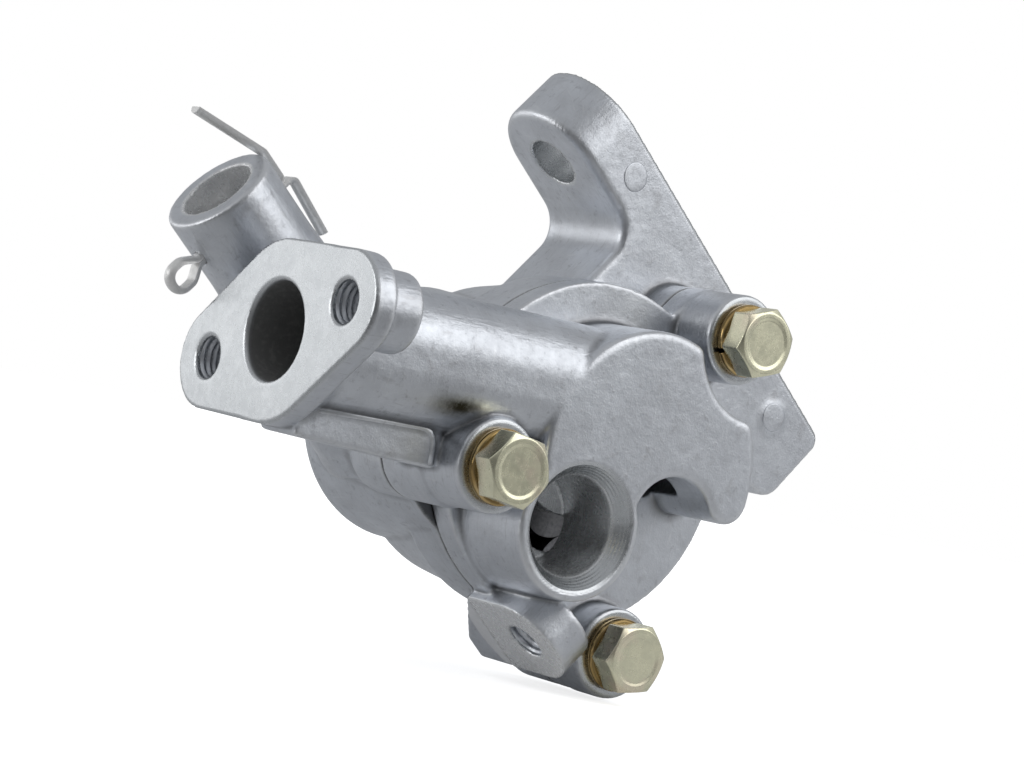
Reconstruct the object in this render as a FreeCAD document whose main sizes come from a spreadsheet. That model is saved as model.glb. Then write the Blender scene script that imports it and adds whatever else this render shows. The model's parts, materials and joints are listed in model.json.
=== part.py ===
import FreeCAD, Part
import math
import os
import Sketcher

# Chain-driven trochoid engine oil pump: die-cast body with a two-lug mounting
# bracket, bolted cover with delivery arm and pickup bore, rotors on a keyed
# shaft, and a plunger relief valve held by a split pin.
# Frame: origin on the shaft axis at the sprocket shoulder, +Y out of the drive
# end, -X out of the delivery flange, +Z up.  Millimetres and degrees.

V = FreeCAD.Vector
doc = FreeCAD.newDocument("oil_pump")
sheet = doc.addObject("Spreadsheet::Sheet", "dims")
SIZES = {
    # --- rotor set and shaft
    "rotor_lobes": 5,  # lobes of the outer rotor, one more than the inner
    "rotor_eccentricity": 3.0,  # offset of outer rotor centre from the shaft
    "rotor_width": 21.92,  # axial width of both rotors
    "rotor_end_play": 0.04,  # axial clearance on each rotor face
    "rotor_lobe_radius": 8.5,  # radius of each outer rotor lobe
    "rotor_lobe_circle": 25.0,  # radius of the circle of outer lobe centres
    "rotor_tip_clearance": 0.08,  # inner rotor offset from its true envelope
    "rotor_root_clearance": 0.25,  # extra depth of the outer rotor roots
    "outer_rotor_radius": 26.6,  # outer rotor outside radius
    "pocket_clearance": 0.06,  # radial clearance of outer rotor in its pocket
    "shaft_radius": 8.0,  # pump shaft journal radius
    "shaft_clearance": 0.03,  # radial clearance of shaft in its bush
    "shaft_front_gap": 0.4,  # shaft end stands this far behind the cover
    "seat_radius": 7.0,  # sprocket seat radius
    "seat_length": 14.0,  # sprocket seat length
    "tail_radius": 5.0,  # threaded tail radius
    "tail_length": 9.0,  # threaded tail length
    "bush_wall": 2.0,  # shaft bush wall
    "pin_radius": 2.0,  # rotor drive pin radius
    "pin_length": 21.0,  # rotor drive pin length
    "pin_setback": 3.2,  # drive pin centre ahead of the rotor rear face
    "pin_slot_clearance": 0.06,  # clearance round the pin in the rotor slot
    "pin_end_clearance": 0.3,  # clearance at each end of the drive pin
    "key_radius": 6.5,  # woodruff key disc radius
    "key_width": 4.0,  # woodruff key width
    "key_height": 5.0,  # woodruff key height, cut from its disc
    "key_stand": 2.0,  # height of the key above the sprocket seat
    # --- body
    "body_depth": 32.0,  # joint face to rear face of the body
    "nose_length": 13.0,  # bearing nose behind the rear face
    "nose_radius": 13.5,  # bearing nose radius at its root
    "nose_taper": 1.0,  # radius lost along the nose
    "seat_gap": 3.0,  # nose end to sprocket shoulder
    "nose_round": 1.2,  # rounded end of the bearing nose
    "barrel_radius": 34.6,  # barrel and cover plate radius at the joint
    "barrel_taper": 3.9,  # radius lost from joint to rear face
    "barrel_shift": 0.4,  # barrel centre beside the rotor centre
    "bulge_radius": 23.6,  # port chamber bulge radius at the joint
    "bulge_growth": 2.7,  # bulge radius gained towards the rear
    "bulge_offset": 15.5,  # bulge centre, distance towards -X
    "bulge_drop": 0.1,  # bulge centre, distance below the shaft
    "left_lobe_radius": 9.8,  # left bolt lobe radius of both flanges
    "upper_lobe_radius": 9.4,  # upper bolt lobe radius of both flanges
    "lower_lobe_radius": 9.0,  # lower bolt lobe radius of both flanges
    "body_lobe_depth": 11.0,  # depth of the body flange lobes
    "left_boss_depth": 26.0,  # left bolt boss behind the joint face
    "upper_boss_depth": 27.0,  # upper bolt boss behind the joint face
    "lower_boss_depth": 19.0,  # lower bolt boss behind the joint face
    "boss_taper": 1.3,  # radius lost along each body boss
    "boss_round": 0.8,  # rounded rims of the bosses
    "cast_round": 2.0,  # rounded rims of the casting
    # --- mounting bracket, laid along its own slope
    "mount_slope": 39.2,  # slope of the mounting face below +X
    "mount_reach": 57.1,  # shaft axis to mounting face
    "bracket_front": 7.2,  # bracket front plane behind the joint face
    "bracket_width": 26.2,  # bracket width along the shaft
    "lug_thickness": 13.5,  # upper lug, mounting face to bolt face
    "lug_hole_at": 35.4,  # upper bolt hole up the slope from the axis
    "lug_round": 1.8,  # rounded rim of the lug and its neck
    "foot_hole_at": 40.0,  # lower bolt hole down the slope from the axis
    "foot_end_at": 52.7,  # end of the foot down the slope
    "foot_thickness": 20.5,  # foot, mounting face to bolt face
    "foot_length": 26.0,  # length of the foot block
    "mount_hole_radius": 5.5,  # bracket bolt hole radius
    "web_wall": 8.0,  # bracket web plate thickness
    "mount_wall": 8.0,  # mounting wall thickness
    "neck_at": 17.3,  # neck wall of the bracket up the slope
    "neck_wall": 12.0,  # neck rib thickness
    "neck_round": 6.4,  # hollow between the lug and its neck
    "foot_round": 5.0,  # rounded lower end of the foot
    "foot_edge": 1.6,  # rounded edge of the foot at the mounting face
    "web_inset": 8.0,  # web edge inside the start of the foot
    "web_dip": 9.0,  # web edge below the bolt face of the foot
    "web_root": 8.0,  # web corner inside the barrel
    "mark_radius": 3.3,  # ejector mark radius
    "mark_height": 0.35,  # ejector mark depth and height
    "upper_mark_at": 26.4,  # upper ejector mark up the slope
    "upper_mark_up": 51.1,  # upper ejector mark towards the mounting face
    "lower_mark_at": 39.0,  # lower ejector mark down the slope
    "lower_mark_up": 49.9,  # lower ejector mark towards the mounting face
    # --- relief valve
    "relief_reach": 82.9,  # valve tube mouth up the slope
    "relief_offset": 23.2,  # valve axis below the shaft, across the slope
    "relief_depth": 18.0,  # valve axis behind the joint face
    "relief_bore": 7.33,  # valve bore radius
    "relief_wall": 3.77,  # valve tube wall
    "relief_mouth_round": 0.6,  # rounded rim of the tube mouth
    "relief_straight": 16.0,  # straight part of the valve tube
    "relief_root_at": 20.0,  # end of the valve tube inside the body
    "relief_root_growth": 2.2,  # extra tube radius at its root
    "relief_bore_end": 30.0,  # valve bore end up the slope
    "relief_pilot_radius": 3.6,  # pilot hole radius past the bore end
    "relief_pilot_depth": 4.0,  # pilot hole depth past the bore end
    "relief_feed_radius": 2.4,  # feed gallery radius
    "relief_feed_wall": 1.6,  # wall between the feed gallery and the rotor pocket
    "feed_lap": 6.0,  # feed gallery end inside the delivery recess
    "port_recess": 4.5,  # depth of the port recesses behind the rotors
    "spill_radius": 3.2,  # spill hole radius
    "spill_lap": 3.0,  # plunger end past the spill hole centre
    "plunger_length": 18.0,  # plunger length
    "plunger_wall": 1.8,  # plunger wall
    "plunger_clearance": 0.04,  # radial clearance of plunger in its bore
    "spring_wire": 0.9,  # spring wire radius
    "spring_turns": 9.0,  # spring coils
    "spring_side_gap": 0.55,  # gap between spring and plunger wall
    "cap_flange": 2.4,  # spring seat flange thickness
    "cap_stem": 5.0,  # spring seat stem length
    "cap_gap": 0.15,  # radial clearance of the spring seat in the bore
    "split_pin_from_mouth": 8.1,  # split pin centre below the tube mouth
    "split_leg_radius": 1.4,  # radius of the closed pair of legs
    "split_hole_clearance": 0.15,  # clearance round the split pin
    "split_leg_gap": 0.06,  # gap between the two closed legs
    "split_eye_neck": 1.0,  # start of the eye outside the tube
    "split_eye_shoulder": 2.8,  # length of the eye's shoulder
    "split_eye_reach": 8.5,  # far end of the eye outside the tube
    "split_eye_width": 6.6,  # outside width of the eye
    "split_leg_stand": 0.1,  # gap between the long leg and the tube
    "split_rim_bend": 0.4,  # second bend of the long leg short of the tube mouth
    "split_long_tip": 15.1,  # tip of the long leg past the tube mouth
    "split_long_drop": 5.1,  # tip of the long leg inwards of the tube's side
    "split_short_stand": 2.4,  # gap between the short leg and the tube
    "split_short_close": 1.3,  # gap between the tip of the short leg and the tube
    "split_short_tip": 13.8,  # tip of the short leg past the pin centre
    # --- cover
    "plate_thickness": 6.0,  # cover plate thickness
    "cover_height": 24.3,  # joint face to front face of the cover
    "chamber_radius": 25.5,  # raised chamber radius
    "chamber_shift": 1.9,  # chamber centre beside the rotor centre
    "chamber_lobe_radius": 29.1,  # radius of the chamber's right lobe
    "chamber_tip_radius": 5.0,  # rounded tip of the right lobe
    "chamber_tip_angle": 7.5,  # tip centre below +X, round the rotor centre
    "chamber_corner": 2.4,  # upright corners beside the upper bolt
    "chamber_round": 1.3,  # rounded front edge of the chamber
    "valley_x": 13.0,  # scallop centre below the right lobe
    "valley_z": -12.7,  # scallop centre below the right lobe
    "valley_end_angle": -20.0,  # end of the scallop above -X
    "dome_end_angle": 25.0,  # end of the dome below -X
    "bolt_scallop": 16.0,  # scallop round the upper bolt
    "inlet_across": 10.1,  # pickup bore centre towards -X
    "inlet_down": 15.5,  # pickup bore centre below the shaft
    "inlet_radius": 9.75,  # pickup bore radius
    "inlet_mouth": 12.4,  # pickup bore chamfer radius
    "inlet_mouth_depth": 3.4,  # pickup bore chamfer depth
    "inlet_wall": 4.7,  # pickup boss wall
    "inlet_boss_growth": 0.8,  # pickup boss radius gained towards the plate
    "port_inner": 14.4,  # inner radius of both rotor ports
    "port_outer": 22.3,  # outer radius of both rotor ports
    "port_span": 124.0,  # angle covered by each rotor port
    "delivery_port_depth": 14.0,  # depth of the delivery port in the cover
    "arm_radius": 13.6,  # delivery arm, half its height
    "arm_half_depth": 11.5,  # delivery arm, half its depth
    "arm_forward": 12.7,  # arm axis ahead of the joint face
    "arm_up": 9.8,  # arm axis above the shaft
    "arm_reach": 79.9,  # shaft axis to flange face
    "arm_bore": 9.3,  # delivery bore radius
    "arm_bore_edge": 0.4,  # broken edge of the delivery bore at the flange face
    "arm_bore_end": 8.0,  # end of the delivery bore past the shaft
    "arm_inner_end": 2.0,  # end of the arm inside the chamber
    "arm_flare": 2.2,  # arm outline gained at the flange
    "arm_flare_length": 5.0,  # length of the flare
    "flange_thickness": 5.0,  # delivery flange thickness
    "flange_edge": 0.8,  # rounded rear edge of the flange
    "flange_middle_radius": 17.1,  # flange outline radius round its bore
    "flange_end_radius": 9.7,  # flange outline radius round its holes
    "flange_half_pitch": 21.8,  # bore centre to each flange hole
    "flange_tilt": 18.8,  # tilt of the hole line from the shaft line
    "flange_boss_radius": 7.5,  # boss behind each flange hole
    "flange_boss_length": 7.4,  # boss length behind the flange
    "rib_height": 6.0,  # rib below the arm
    "rib_width": 12.0,  # rib width
    "rib_end": 41.4,  # inner end of the rib towards -X
    "rib_rise": 1.6,  # rise of the rib towards the flange
    "rib_round": 2.5,  # rounded inner end of the rib
    "left_web_width": 12.0,  # web between the left boss and the chamber
    "left_web_drop": 5.0,  # web top behind the left boss face
    "web_inset_cover": 6.0,  # inner end of that web past the rotor centre
    "left_lobe_depth": 12.0,  # height of the wide foot of the left boss
    "thread_radius": 4.0,  # M8 thread radius
    "thread_mouth": 4.45,  # thread countersink radius
    "flange_thread_depth": 12.0,  # flange thread depth
    "pad_reach": 35.95,  # shaft axis to bracket pad face
    "pad_at": 19.0,  # pad hole down the slope
    "pad_forward": 11.5,  # pad hole ahead of the joint face
    "pad_radius": 9.8,  # pad nose radius
    "pad_wall": 8.0,  # pad thickness
    "pad_root": 18.0,  # pad foot and backing, inwards from the pad face
    "pad_backing_depth": 11.6,  # pad backing behind the joint face
    "pad_backing_round": 1.2,  # rounded rear edge of the pad backing
    "pad_backing_flat": 5.0,  # flat rear end of the pad backing
    "pad_thread_depth": 11.0,  # pad thread depth
    # --- fasteners
    "left_bolt_x": -32.9,  # left bolt
    "left_bolt_z": -6.8,  # left bolt
    "upper_bolt_x": 28.1,  # upper bolt
    "upper_bolt_z": 27.2,  # upper bolt
    "lower_bolt_x": 13.1,  # lower bolt
    "lower_bolt_z": -39.4,  # lower bolt
    "left_boss_height": 24.9,  # left boss above the joint face
    "upper_boss_height": 16.9,  # upper boss above the joint face
    "lower_boss_height": 14.1,  # lower boss above the joint face
    "boss_radius": 9.2,  # cover bolt boss radius
    "left_head_turn": 50.7,  # turn of the left bolt head
    "upper_head_turn": 17.4,  # turn of the upper bolt head
    "lower_head_turn": 7.7,  # turn of the lower bolt head
    "head_crown_radius": 6.2,  # flat top radius of a bolt head
    "bolt_radius": 4.0,  # M8 bolt radius
    "bolt_engagement": 13.0,  # bolt length in the body
    "bolt_hole_radius": 4.4,  # bolt clearance hole radius in the cover
    "thread_clearance": 0.06,  # bolt to tapped hole, radial
    "tapped_extra": 1.0,  # tapped hole past the bolt end
    "head_across_flats": 13.0,  # hexagon across flats
    "head_height": 5.3,  # bolt head height
    "washer_thickness": 1.9,  # spring washer thickness
    "washer_radius": 7.4,  # spring washer outer radius
    "washer_bore": 4.15,  # spring washer bore radius
    "washer_slit": 1.0,  # spring washer slit
    "dowel_radius": 2.5,  # cover dowel radius
    "dowel_length": 10.0,  # cover dowel length
    "dowel_circle": 30.2,  # dowel distance from the rotor centre
    "dowel_angle_1": 118.0,  # first dowel, above +X
    "dowel_angle_2": -22.0,  # second dowel, above +X
}
for row, (alias, value) in enumerate(SIZES.items(), 1):
    sheet.set("A%d" % row, alias)
    sheet.set("B%d" % row, str(value))
    sheet.setAlias("B%d" % row, alias)
doc.recompute()


def val(alias):
    """Read a driving dimension back from the sheet."""
    return float(getattr(sheet, alias))


# Places that follow from the sizes
BITE = 0.5  # overlap of fused volumes inside one casting
ecc = val("rotor_eccentricity")
slope = math.radians(val("mount_slope"))
ALONG = V(math.cos(slope), 0, -math.sin(slope))
ACROSS = V(-math.sin(slope), 0, -math.cos(slope))
OUT = V(0, 1, 0)
rear_y = -(val("seat_gap") + val("nose_length"))
joint_y = rear_y - val("body_depth")
plate_y = joint_y - val("plate_thickness")
front_y = joint_y - val("cover_height")
rotor_centre = ALONG * ecc
barrel_centre = rotor_centre - ACROSS * val("barrel_shift")
pocket_radius = val("outer_rotor_radius") + val("pocket_clearance")
pocket_depth = val("rotor_width") + 2 * val("rotor_end_play")
pocket_y = joint_y + pocket_depth
bracket_y0 = joint_y + val("bracket_front")
bracket_y1 = bracket_y0 + val("bracket_width")
bracket_mid = (bracket_y0 + bracket_y1) / 2.0
arm_y = joint_y - val("arm_forward")
arm_z = val("arm_up")
flange_x = -val("arm_reach")
flange_back_x = flange_x + val("flange_thickness")
relief_y = joint_y + val("relief_depth")
relief_outer = val("relief_bore") + val("relief_wall")
pin_e = -(val("relief_reach") - val("split_pin_from_mouth"))
BOLTS = {}
for side in ("left", "upper", "lower"):
    BOLTS[side] = (val(side + "_bolt_x"), val(side + "_bolt_z"),
                   joint_y - val(side + "_boss_height"))


def slope_point(along, across, y):
    """Point given along and across the bracket slope."""
    return ALONG * along + ACROSS * across + OUT * y


def cylinder(radius, start, end):
    """Cylinder between two points."""
    axis = end - start
    return Part.makeCylinder(radius, axis.Length, start, axis)


def cone(radius_a, radius_b, start, end):
    """Cone between two points."""
    axis = end - start
    return Part.makeCone(radius_a, radius_b, axis.Length, start, axis)


def plate(points, push):
    """Straight-sided plate from corner points, pushed along a vector."""
    wire = Part.makePolygon(points + [points[0]])
    return Part.Face(wire).extrude(push)


def slab(start, end, half_width, y0, y1):
    """Upright bar of a given half width between two (x, z) places."""
    side = V(end[0] - start[0], 0, end[1] - start[1]).normalize().cross(OUT)
    side = side * half_width
    first = V(start[0], y0, start[1])
    last = V(end[0], y0, end[1])
    return plate([first - side, last - side, last + side, first + side], OUT * (y1 - y0))


def fillet(shape, radius, test):
    """Round the edges whose middle passes a test."""
    edges = [edge for edge in shape.Edges if test(edge)]
    return shape.makeFillet(radius, edges)


def middle(edge):
    """Point half way along an edge."""
    return edge.valueAt((edge.FirstParameter + edge.LastParameter) / 2.0)


def round_rim(shape, radius, y):
    """Round the whole edge loops that lie in one plane of constant Y."""
    def flat(edge):
        box = edge.BoundBox
        return abs(box.YMin - y) < 1e-4 and abs(box.YMax - y) < 1e-4
    return fillet(shape, radius, flat)


def report_state(label, shape):
    """Stop when a casting did not come out as one valid solid."""
    if shape.isNull() or not shape.isValid() or len(shape.Solids) != 1:
        raise RuntimeError("%s: %d solids" % (label, len(shape.Solids)))
    return shape


def feature(label, shape):
    """Free-form sub-part."""
    made = doc.addObject("Part::Feature", label)
    made.Label = label
    made.Shape = report_state(label, shape)
    PARTS.append(made)
    return made


PARTS = []


# Shared outline of the two joint flanges
def joint_flange(y0, y1, radii):
    """Round plate with its three bolt lobes, between two planes of Y."""
    centre = barrel_centre
    disc = cylinder(val("barrel_radius"), centre + OUT * y0, centre + OUT * y1)
    pieces = []
    for side in BOLTS:
        x, z, top = BOLTS[side]
        pieces.append(cylinder(radii[side], V(x, y0, z), V(x, y1, z)))
        pieces.append(slab((x, z), (centre.x, centre.z), radii[side], y0, y1))
    return disc.multiFuse(pieces)


def port_sector(y0, y1, middle_angle):
    """Ring sector of a rotor port, round the shaft, with rounded ends."""
    half = math.radians(val("port_span")) / 2.0
    inner = val("port_inner")
    outer = val("port_outer")
    across = (outer - inner) / 2.0
    ring = cylinder(outer, V(0, y0, 0), V(0, y1, 0))
    ring = ring.cut(cylinder(inner, V(0, y0, 0), V(0, y1, 0)))
    far = outer * 3
    corners = [V(0, y0, 0)]
    ends = []
    for share in (-1.0, -0.5, 0.0, 0.5, 1.0):
        angle = middle_angle + share * half
        way = V(math.cos(angle), 0, math.sin(angle))
        corners.append(way * far + OUT * y0)
        if abs(share) == 1.0:
            at = way * (inner + across)
            ends.append(cylinder(across, at + OUT * y0, at + OUT * y1))
    wedge = plate(corners, OUT * (y1 - y0))
    return ring.common(wedge).multiFuse(ends)


inlet_angle = math.atan2(ACROSS.z, ACROSS.x)
delivery_angle = inlet_angle + math.pi


# Pump body
def slope_plate(places, y, push):
    """Plate from (along, across) places on the bracket slope."""
    return plate([slope_point(along, across, y) for along, across in places], push)


def make_body():
    """Barrel, port bulge, bearing nose, joint flange, bosses and bracket."""
    centre = barrel_centre
    soft = val("cast_round")
    barrel_rear = val("barrel_radius") - val("barrel_taper")
    barrel = cone(val("barrel_radius"), barrel_rear, centre + OUT * joint_y, centre + OUT * rear_y)
    bulge_rear = val("bulge_radius") + val("bulge_growth")
    bulge_at = V(-val("bulge_offset"), 0, -val("bulge_drop"))
    bulge = cone(val("bulge_radius"), bulge_rear, bulge_at + OUT * joint_y, bulge_at + OUT * rear_y)
    nose_end = rear_y + val("nose_length")
    nose = cone(val("nose_radius"), val("nose_radius") - val("nose_taper"),
                OUT * (rear_y - BITE), OUT * nose_end)
    radii = {side: val(side + "_lobe_radius") for side in BOLTS}
    lobes = joint_flange(joint_y, joint_y + val("body_lobe_depth"), radii)
    pieces = [round_rim(bulge, soft, rear_y), round_rim(nose, val("nose_round"), nose_end), lobes]
    for side in BOLTS:
        x, z, top = BOLTS[side]
        boss_end = joint_y + val(side + "_boss_depth")
        boss = cone(radii[side], radii[side] - val("boss_taper"), V(x, joint_y, z), V(x, boss_end, z))
        pieces.append(round_rim(boss, val("boss_round"), boss_end))
    pieces.append(make_pad_backing())
    pieces.append(make_bracket())
    return round_rim(barrel, soft, rear_y).multiFuse(pieces)


def make_pad_backing():
    """Wedge of the body behind the cover's bracket pad."""
    reach = val("pad_reach")
    start = val("pad_at") - val("pad_radius")
    end = val("pad_at") + val("pad_radius")
    back = joint_y + val("pad_backing_depth")
    corners = [slope_point(start, reach, joint_y), slope_point(end, reach, joint_y),
               slope_point(end, reach, back), slope_point(end - val("pad_backing_flat"), reach, back)]
    backing = plate(corners, ACROSS * -val("pad_root"))
    return fillet(backing, val("pad_backing_round"), lambda edge: abs(middle(edge).y - back) < 1e-3
                  and abs(middle(edge).dot(ACROSS) - reach) < 1e-3)


def make_bracket():
    """Ribbed bracket with an upper lug and a foot, both bolted across."""
    face = -val("mount_reach")
    lug_face = face + val("lug_thickness")
    foot_face = face + val("foot_thickness")
    hole = -val("lug_hole_at")
    neck = -val("neck_at")
    neck_back = neck + val("neck_wall")
    inside = neck + val("neck_wall") / 2.0
    foot_end = val("foot_end_at")
    foot_start = foot_end - val("foot_length")
    wide = OUT * val("bracket_width")
    y0 = bracket_y0

    # lug and neck share one profile that turns down into the barrel
    lug = slope_plate([(hole, face), (neck_back, face), (neck_back, 0), (neck, 0),
                       (neck, lug_face), (hole, lug_face)], y0, wide)
    lug = fillet(lug, val("neck_round"), lambda edge: abs(middle(edge).dot(ALONG) - neck) < 1e-3
                 and abs(middle(edge).dot(ACROSS) - lug_face) < 1e-3)
    end = cylinder(val("bracket_width") / 2.0, slope_point(hole, face, bracket_mid),
                   slope_point(hole, lug_face, bracket_mid))
    lug = lug.fuse(end).removeSplitter()

    def pocket_rim(edge):
        place = middle(edge)
        along = place.dot(ALONG)
        across = place.dot(ACROSS)
        on_face = abs(across - lug_face) < 1e-3 and along < neck
        down_neck = along > hole + 1e-3 and along < neck + 1e-3 and lug_face < across < -1e-3
        return on_face or down_neck
    lug = fillet(lug, val("lug_round"), pocket_rim)

    # mounting wall, foot and front web
    wall = slope_plate([(inside, face), (foot_end - BITE, face),
                        (foot_end - BITE, face + val("mount_wall")),
                        (inside, face + val("mount_wall"))], y0, wide)
    foot = slope_plate([(foot_start, face), (foot_end, face), (foot_end, foot_face),
                        (foot_start, foot_face)], y0, wide)
    for level, radius in ((foot_face, val("foot_round")), (face, val("foot_edge"))):
        foot = fillet(foot, radius, lambda edge: abs(middle(edge).dot(ALONG) - foot_end) < 1e-3
                      and abs(middle(edge).dot(ACROSS) - level) < 1e-3)
    web_end = foot_end - val("foot_round")
    web = slope_plate([(inside, face), (web_end, face), (web_end, foot_face),
                       (foot_start + val("web_inset"), foot_face + val("web_dip")),
                       (val("web_root"), -val("web_root")), (inside, -val("web_root"))],
                      y0, OUT * val("web_wall"))
    return lug.multiFuse([wall, foot, web]).removeSplitter()


def cut_body(solid):
    """Machine the rotor pocket, bearing, valve bore and every hole."""
    centre = rotor_centre
    cuts = [cylinder(pocket_radius, centre + OUT * (joint_y - 1), centre + OUT * pocket_y)]
    bush_outer = val("shaft_radius") + val("shaft_clearance") + val("bush_wall")
    cuts.append(cylinder(bush_outer, OUT * (pocket_y - 1), OUT * 1))
    port_floor = pocket_y + val("port_recess")
    for angle in (inlet_angle, delivery_angle):
        cuts.append(port_sector(pocket_y - 1, port_floor, angle))

    # bracket bolt holes run across the slope
    face = -val("mount_reach")
    for along, depth in ((-val("lug_hole_at"), val("lug_thickness")),
                         (val("foot_hole_at"), val("foot_thickness"))):
        cuts.append(cylinder(val("mount_hole_radius"), slope_point(along, face - 1, bracket_mid),
                             slope_point(along, face + depth + 1, bracket_mid)))

    # relief valve: bore, pilot, and a gallery to the delivery recess
    below = val("relief_offset")
    mouth = slope_point(-val("relief_reach"), below, relief_y)
    bore_end = slope_point(-val("relief_bore_end"), below, relief_y)
    pilot_end = bore_end + ALONG * val("relief_pilot_depth")
    cuts.append(cylinder(val("relief_bore"), mouth - ALONG, bore_end))
    cuts.append(cylinder(val("relief_pilot_radius"), bore_end - ALONG, pilot_end))
    feed_r = val("relief_feed_radius")
    feed_y = pocket_y + val("relief_feed_wall") + feed_r
    riser = (bore_end + pilot_end) * 0.5
    feed_start = V(riser.x, feed_y, riser.z)
    feed_angle = delivery_angle + math.radians(val("port_span")) / 2.0 - math.radians(val("feed_lap"))
    feed_ring = (val("port_inner") + val("port_outer")) / 2.0
    cuts.append(cylinder(feed_r, riser, feed_start))
    cuts.append(cylinder(feed_r, feed_start, V(feed_ring * math.cos(feed_angle), feed_y,
                                               feed_ring * math.sin(feed_angle))))
    spill_at = -(val("relief_bore_end") + val("plunger_length") - val("spill_lap"))
    cuts.append(cylinder(val("spill_radius"), slope_point(spill_at, below, relief_y),
                         slope_point(spill_at, below, relief_y + 2 * relief_outer)))
    pin_room = val("split_leg_radius") + val("split_hole_clearance")
    cuts.append(cylinder(pin_room, slope_point(pin_e, below - 2 * relief_outer, relief_y),
                         slope_point(pin_e, below + 2 * relief_outer, relief_y)))

    # tapped holes and dowel holes in the joint face
    for side in BOLTS:
        x, z, top = BOLTS[side]
        tapped = val("bolt_radius") + val("thread_clearance")
        depth = val("bolt_engagement") + val("tapped_extra")
        cuts.append(cylinder(tapped, V(x, joint_y - 1, z), V(x, joint_y + depth, z)))
    for place in DOWELS:
        cuts.append(cylinder(val("dowel_radius"), V(place.x, joint_y - 1, place.z),
                             V(place.x, joint_y + val("dowel_length") / 2.0, place.z)))
    return solid.cut(Part.makeCompound(cuts))


DOWELS = []
for turn in (val("dowel_angle_1"), val("dowel_angle_2")):
    angle = math.radians(turn)
    DOWELS.append(rotor_centre + V(math.cos(angle), 0, math.sin(angle)) * val("dowel_circle"))


def make_relief_tube():
    """Cast tube of the relief valve, slightly thicker at its root."""
    below = val("relief_offset")
    mouth_e = -val("relief_reach")
    mouth = slope_point(mouth_e, below, relief_y)
    knee = mouth + ALONG * val("relief_straight")
    root = slope_point(-val("relief_root_at"), below, relief_y)
    tube = cylinder(relief_outer, mouth, knee)
    tube = fillet(tube, val("relief_mouth_round"), lambda edge: edge.Closed
                  and abs(middle(edge).dot(ALONG) - mouth_e) < 1e-3)
    return tube.fuse(cone(relief_outer, relief_outer + val("relief_root_growth"), knee, root))


body = make_body().fuse(make_relief_tube())
body = cut_body(body)
mark_r = val("mark_radius")
mark_h = val("mark_height")
upper_mark = slope_point(-val("upper_mark_at"), -val("upper_mark_up"), bracket_y0)
lower_mark = slope_point(val("lower_mark_at"), -val("lower_mark_up"), bracket_y0)
groove = cylinder(mark_r, upper_mark - OUT, upper_mark + OUT * mark_h)
groove = groove.cut(cylinder(mark_r - mark_h, upper_mark - OUT, upper_mark + OUT))
body = body.cut(groove)
body = body.fuse(cylinder(mark_r, lower_mark - OUT * mark_h, lower_mark + OUT))
feature("pump_body", body)


# Pump cover
def circles_meet(first, radius_a, second, radius_b, side):
    """One of the two points where two circles in an upright plane cross."""
    gap = second - first
    along = (gap.Length ** 2 + radius_a ** 2 - radius_b ** 2) / (2 * gap.Length)
    rise = math.sqrt(radius_a ** 2 - along ** 2)
    way = gap.normalize()
    return first + way * along + way.cross(OUT) * (side * rise)


def short_arc(centre, start, end):
    """Arc under half a turn between two points round a centre."""
    way = (start + end - centre * 2).normalize()
    return Part.Arc(start, centre + way * (start - centre).Length, end).toShape()


def make_chamber():
    """Raised delivery chamber: one outline of arcs, pushed back to the plate."""
    level = OUT * front_y
    dome_at = rotor_centre - ACROSS * val("chamber_shift") + level
    dome_r = val("chamber_radius")
    lobe_at = rotor_centre + level
    lobe_r = val("chamber_lobe_radius")
    tip_r = val("chamber_tip_radius")
    x, z, top = BOLTS["upper"]
    bolt_at = V(x, front_y, z)
    scallop_r = val("bolt_scallop")
    valley_at = V(val("valley_x"), front_y, val("valley_z"))

    # the tip is tangent inside the lobe and outside the valley
    dip = math.radians(val("chamber_tip_angle"))
    tip_way = V(math.cos(dip), 0, -math.sin(dip))
    tip_at = lobe_at + tip_way * (lobe_r - tip_r)
    to_valley = valley_at - tip_at
    valley_r = to_valley.Length - tip_r
    to_valley.normalize()
    rise = math.radians(val("valley_end_angle"))
    wrap = math.radians(val("dome_end_angle"))

    dome_end = dome_at - V(math.cos(wrap), 0, math.sin(wrap)) * dome_r
    shoulder = circles_meet(dome_at, dome_r, bolt_at, scallop_r, 1)
    ear = circles_meet(lobe_at, lobe_r, bolt_at, scallop_r, -1)
    nose = lobe_at + tip_way * lobe_r
    hollow = tip_at + to_valley * tip_r
    valley_end = valley_at + V(-math.cos(rise), 0, math.sin(rise)) * valley_r
    outline = Part.Wire([
        short_arc(dome_at, dome_end, shoulder), short_arc(bolt_at, shoulder, ear),
        short_arc(lobe_at, ear, nose), short_arc(tip_at, nose, hollow),
        short_arc(valley_at, hollow, valley_end),
        Part.LineSegment(valley_end, dome_end).toShape()])
    chamber = Part.Face(outline).extrude(OUT * (plate_y + BITE - front_y))

    def upright_corner(edge):
        place = middle(edge)
        near = min(V(place.x, front_y, place.z).distanceToPoint(spot) for spot in (shoulder, ear))
        return near < 1e-3
    chamber = fillet(chamber, val("chamber_corner"), upright_corner)
    return round_rim(chamber, val("chamber_round"), front_y)


def arm_outline(x, grow):
    """Oval outline of the delivery arm, square to X."""
    half = val("arm_half_depth") + grow
    lift = val("arm_radius") - val("arm_half_depth")
    front = arm_y - half
    back = arm_y + half
    top = arm_z + lift
    low = arm_z - lift
    over = Part.Arc(V(x, front, top), V(x, arm_y, top + half), V(x, back, top)).toShape()
    down = Part.LineSegment(V(x, back, top), V(x, back, low)).toShape()
    under = Part.Arc(V(x, back, low), V(x, arm_y, low - half), V(x, front, low)).toShape()
    up = Part.LineSegment(V(x, front, low), V(x, front, top)).toShape()
    return Part.Wire([over, down, under, up])


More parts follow.
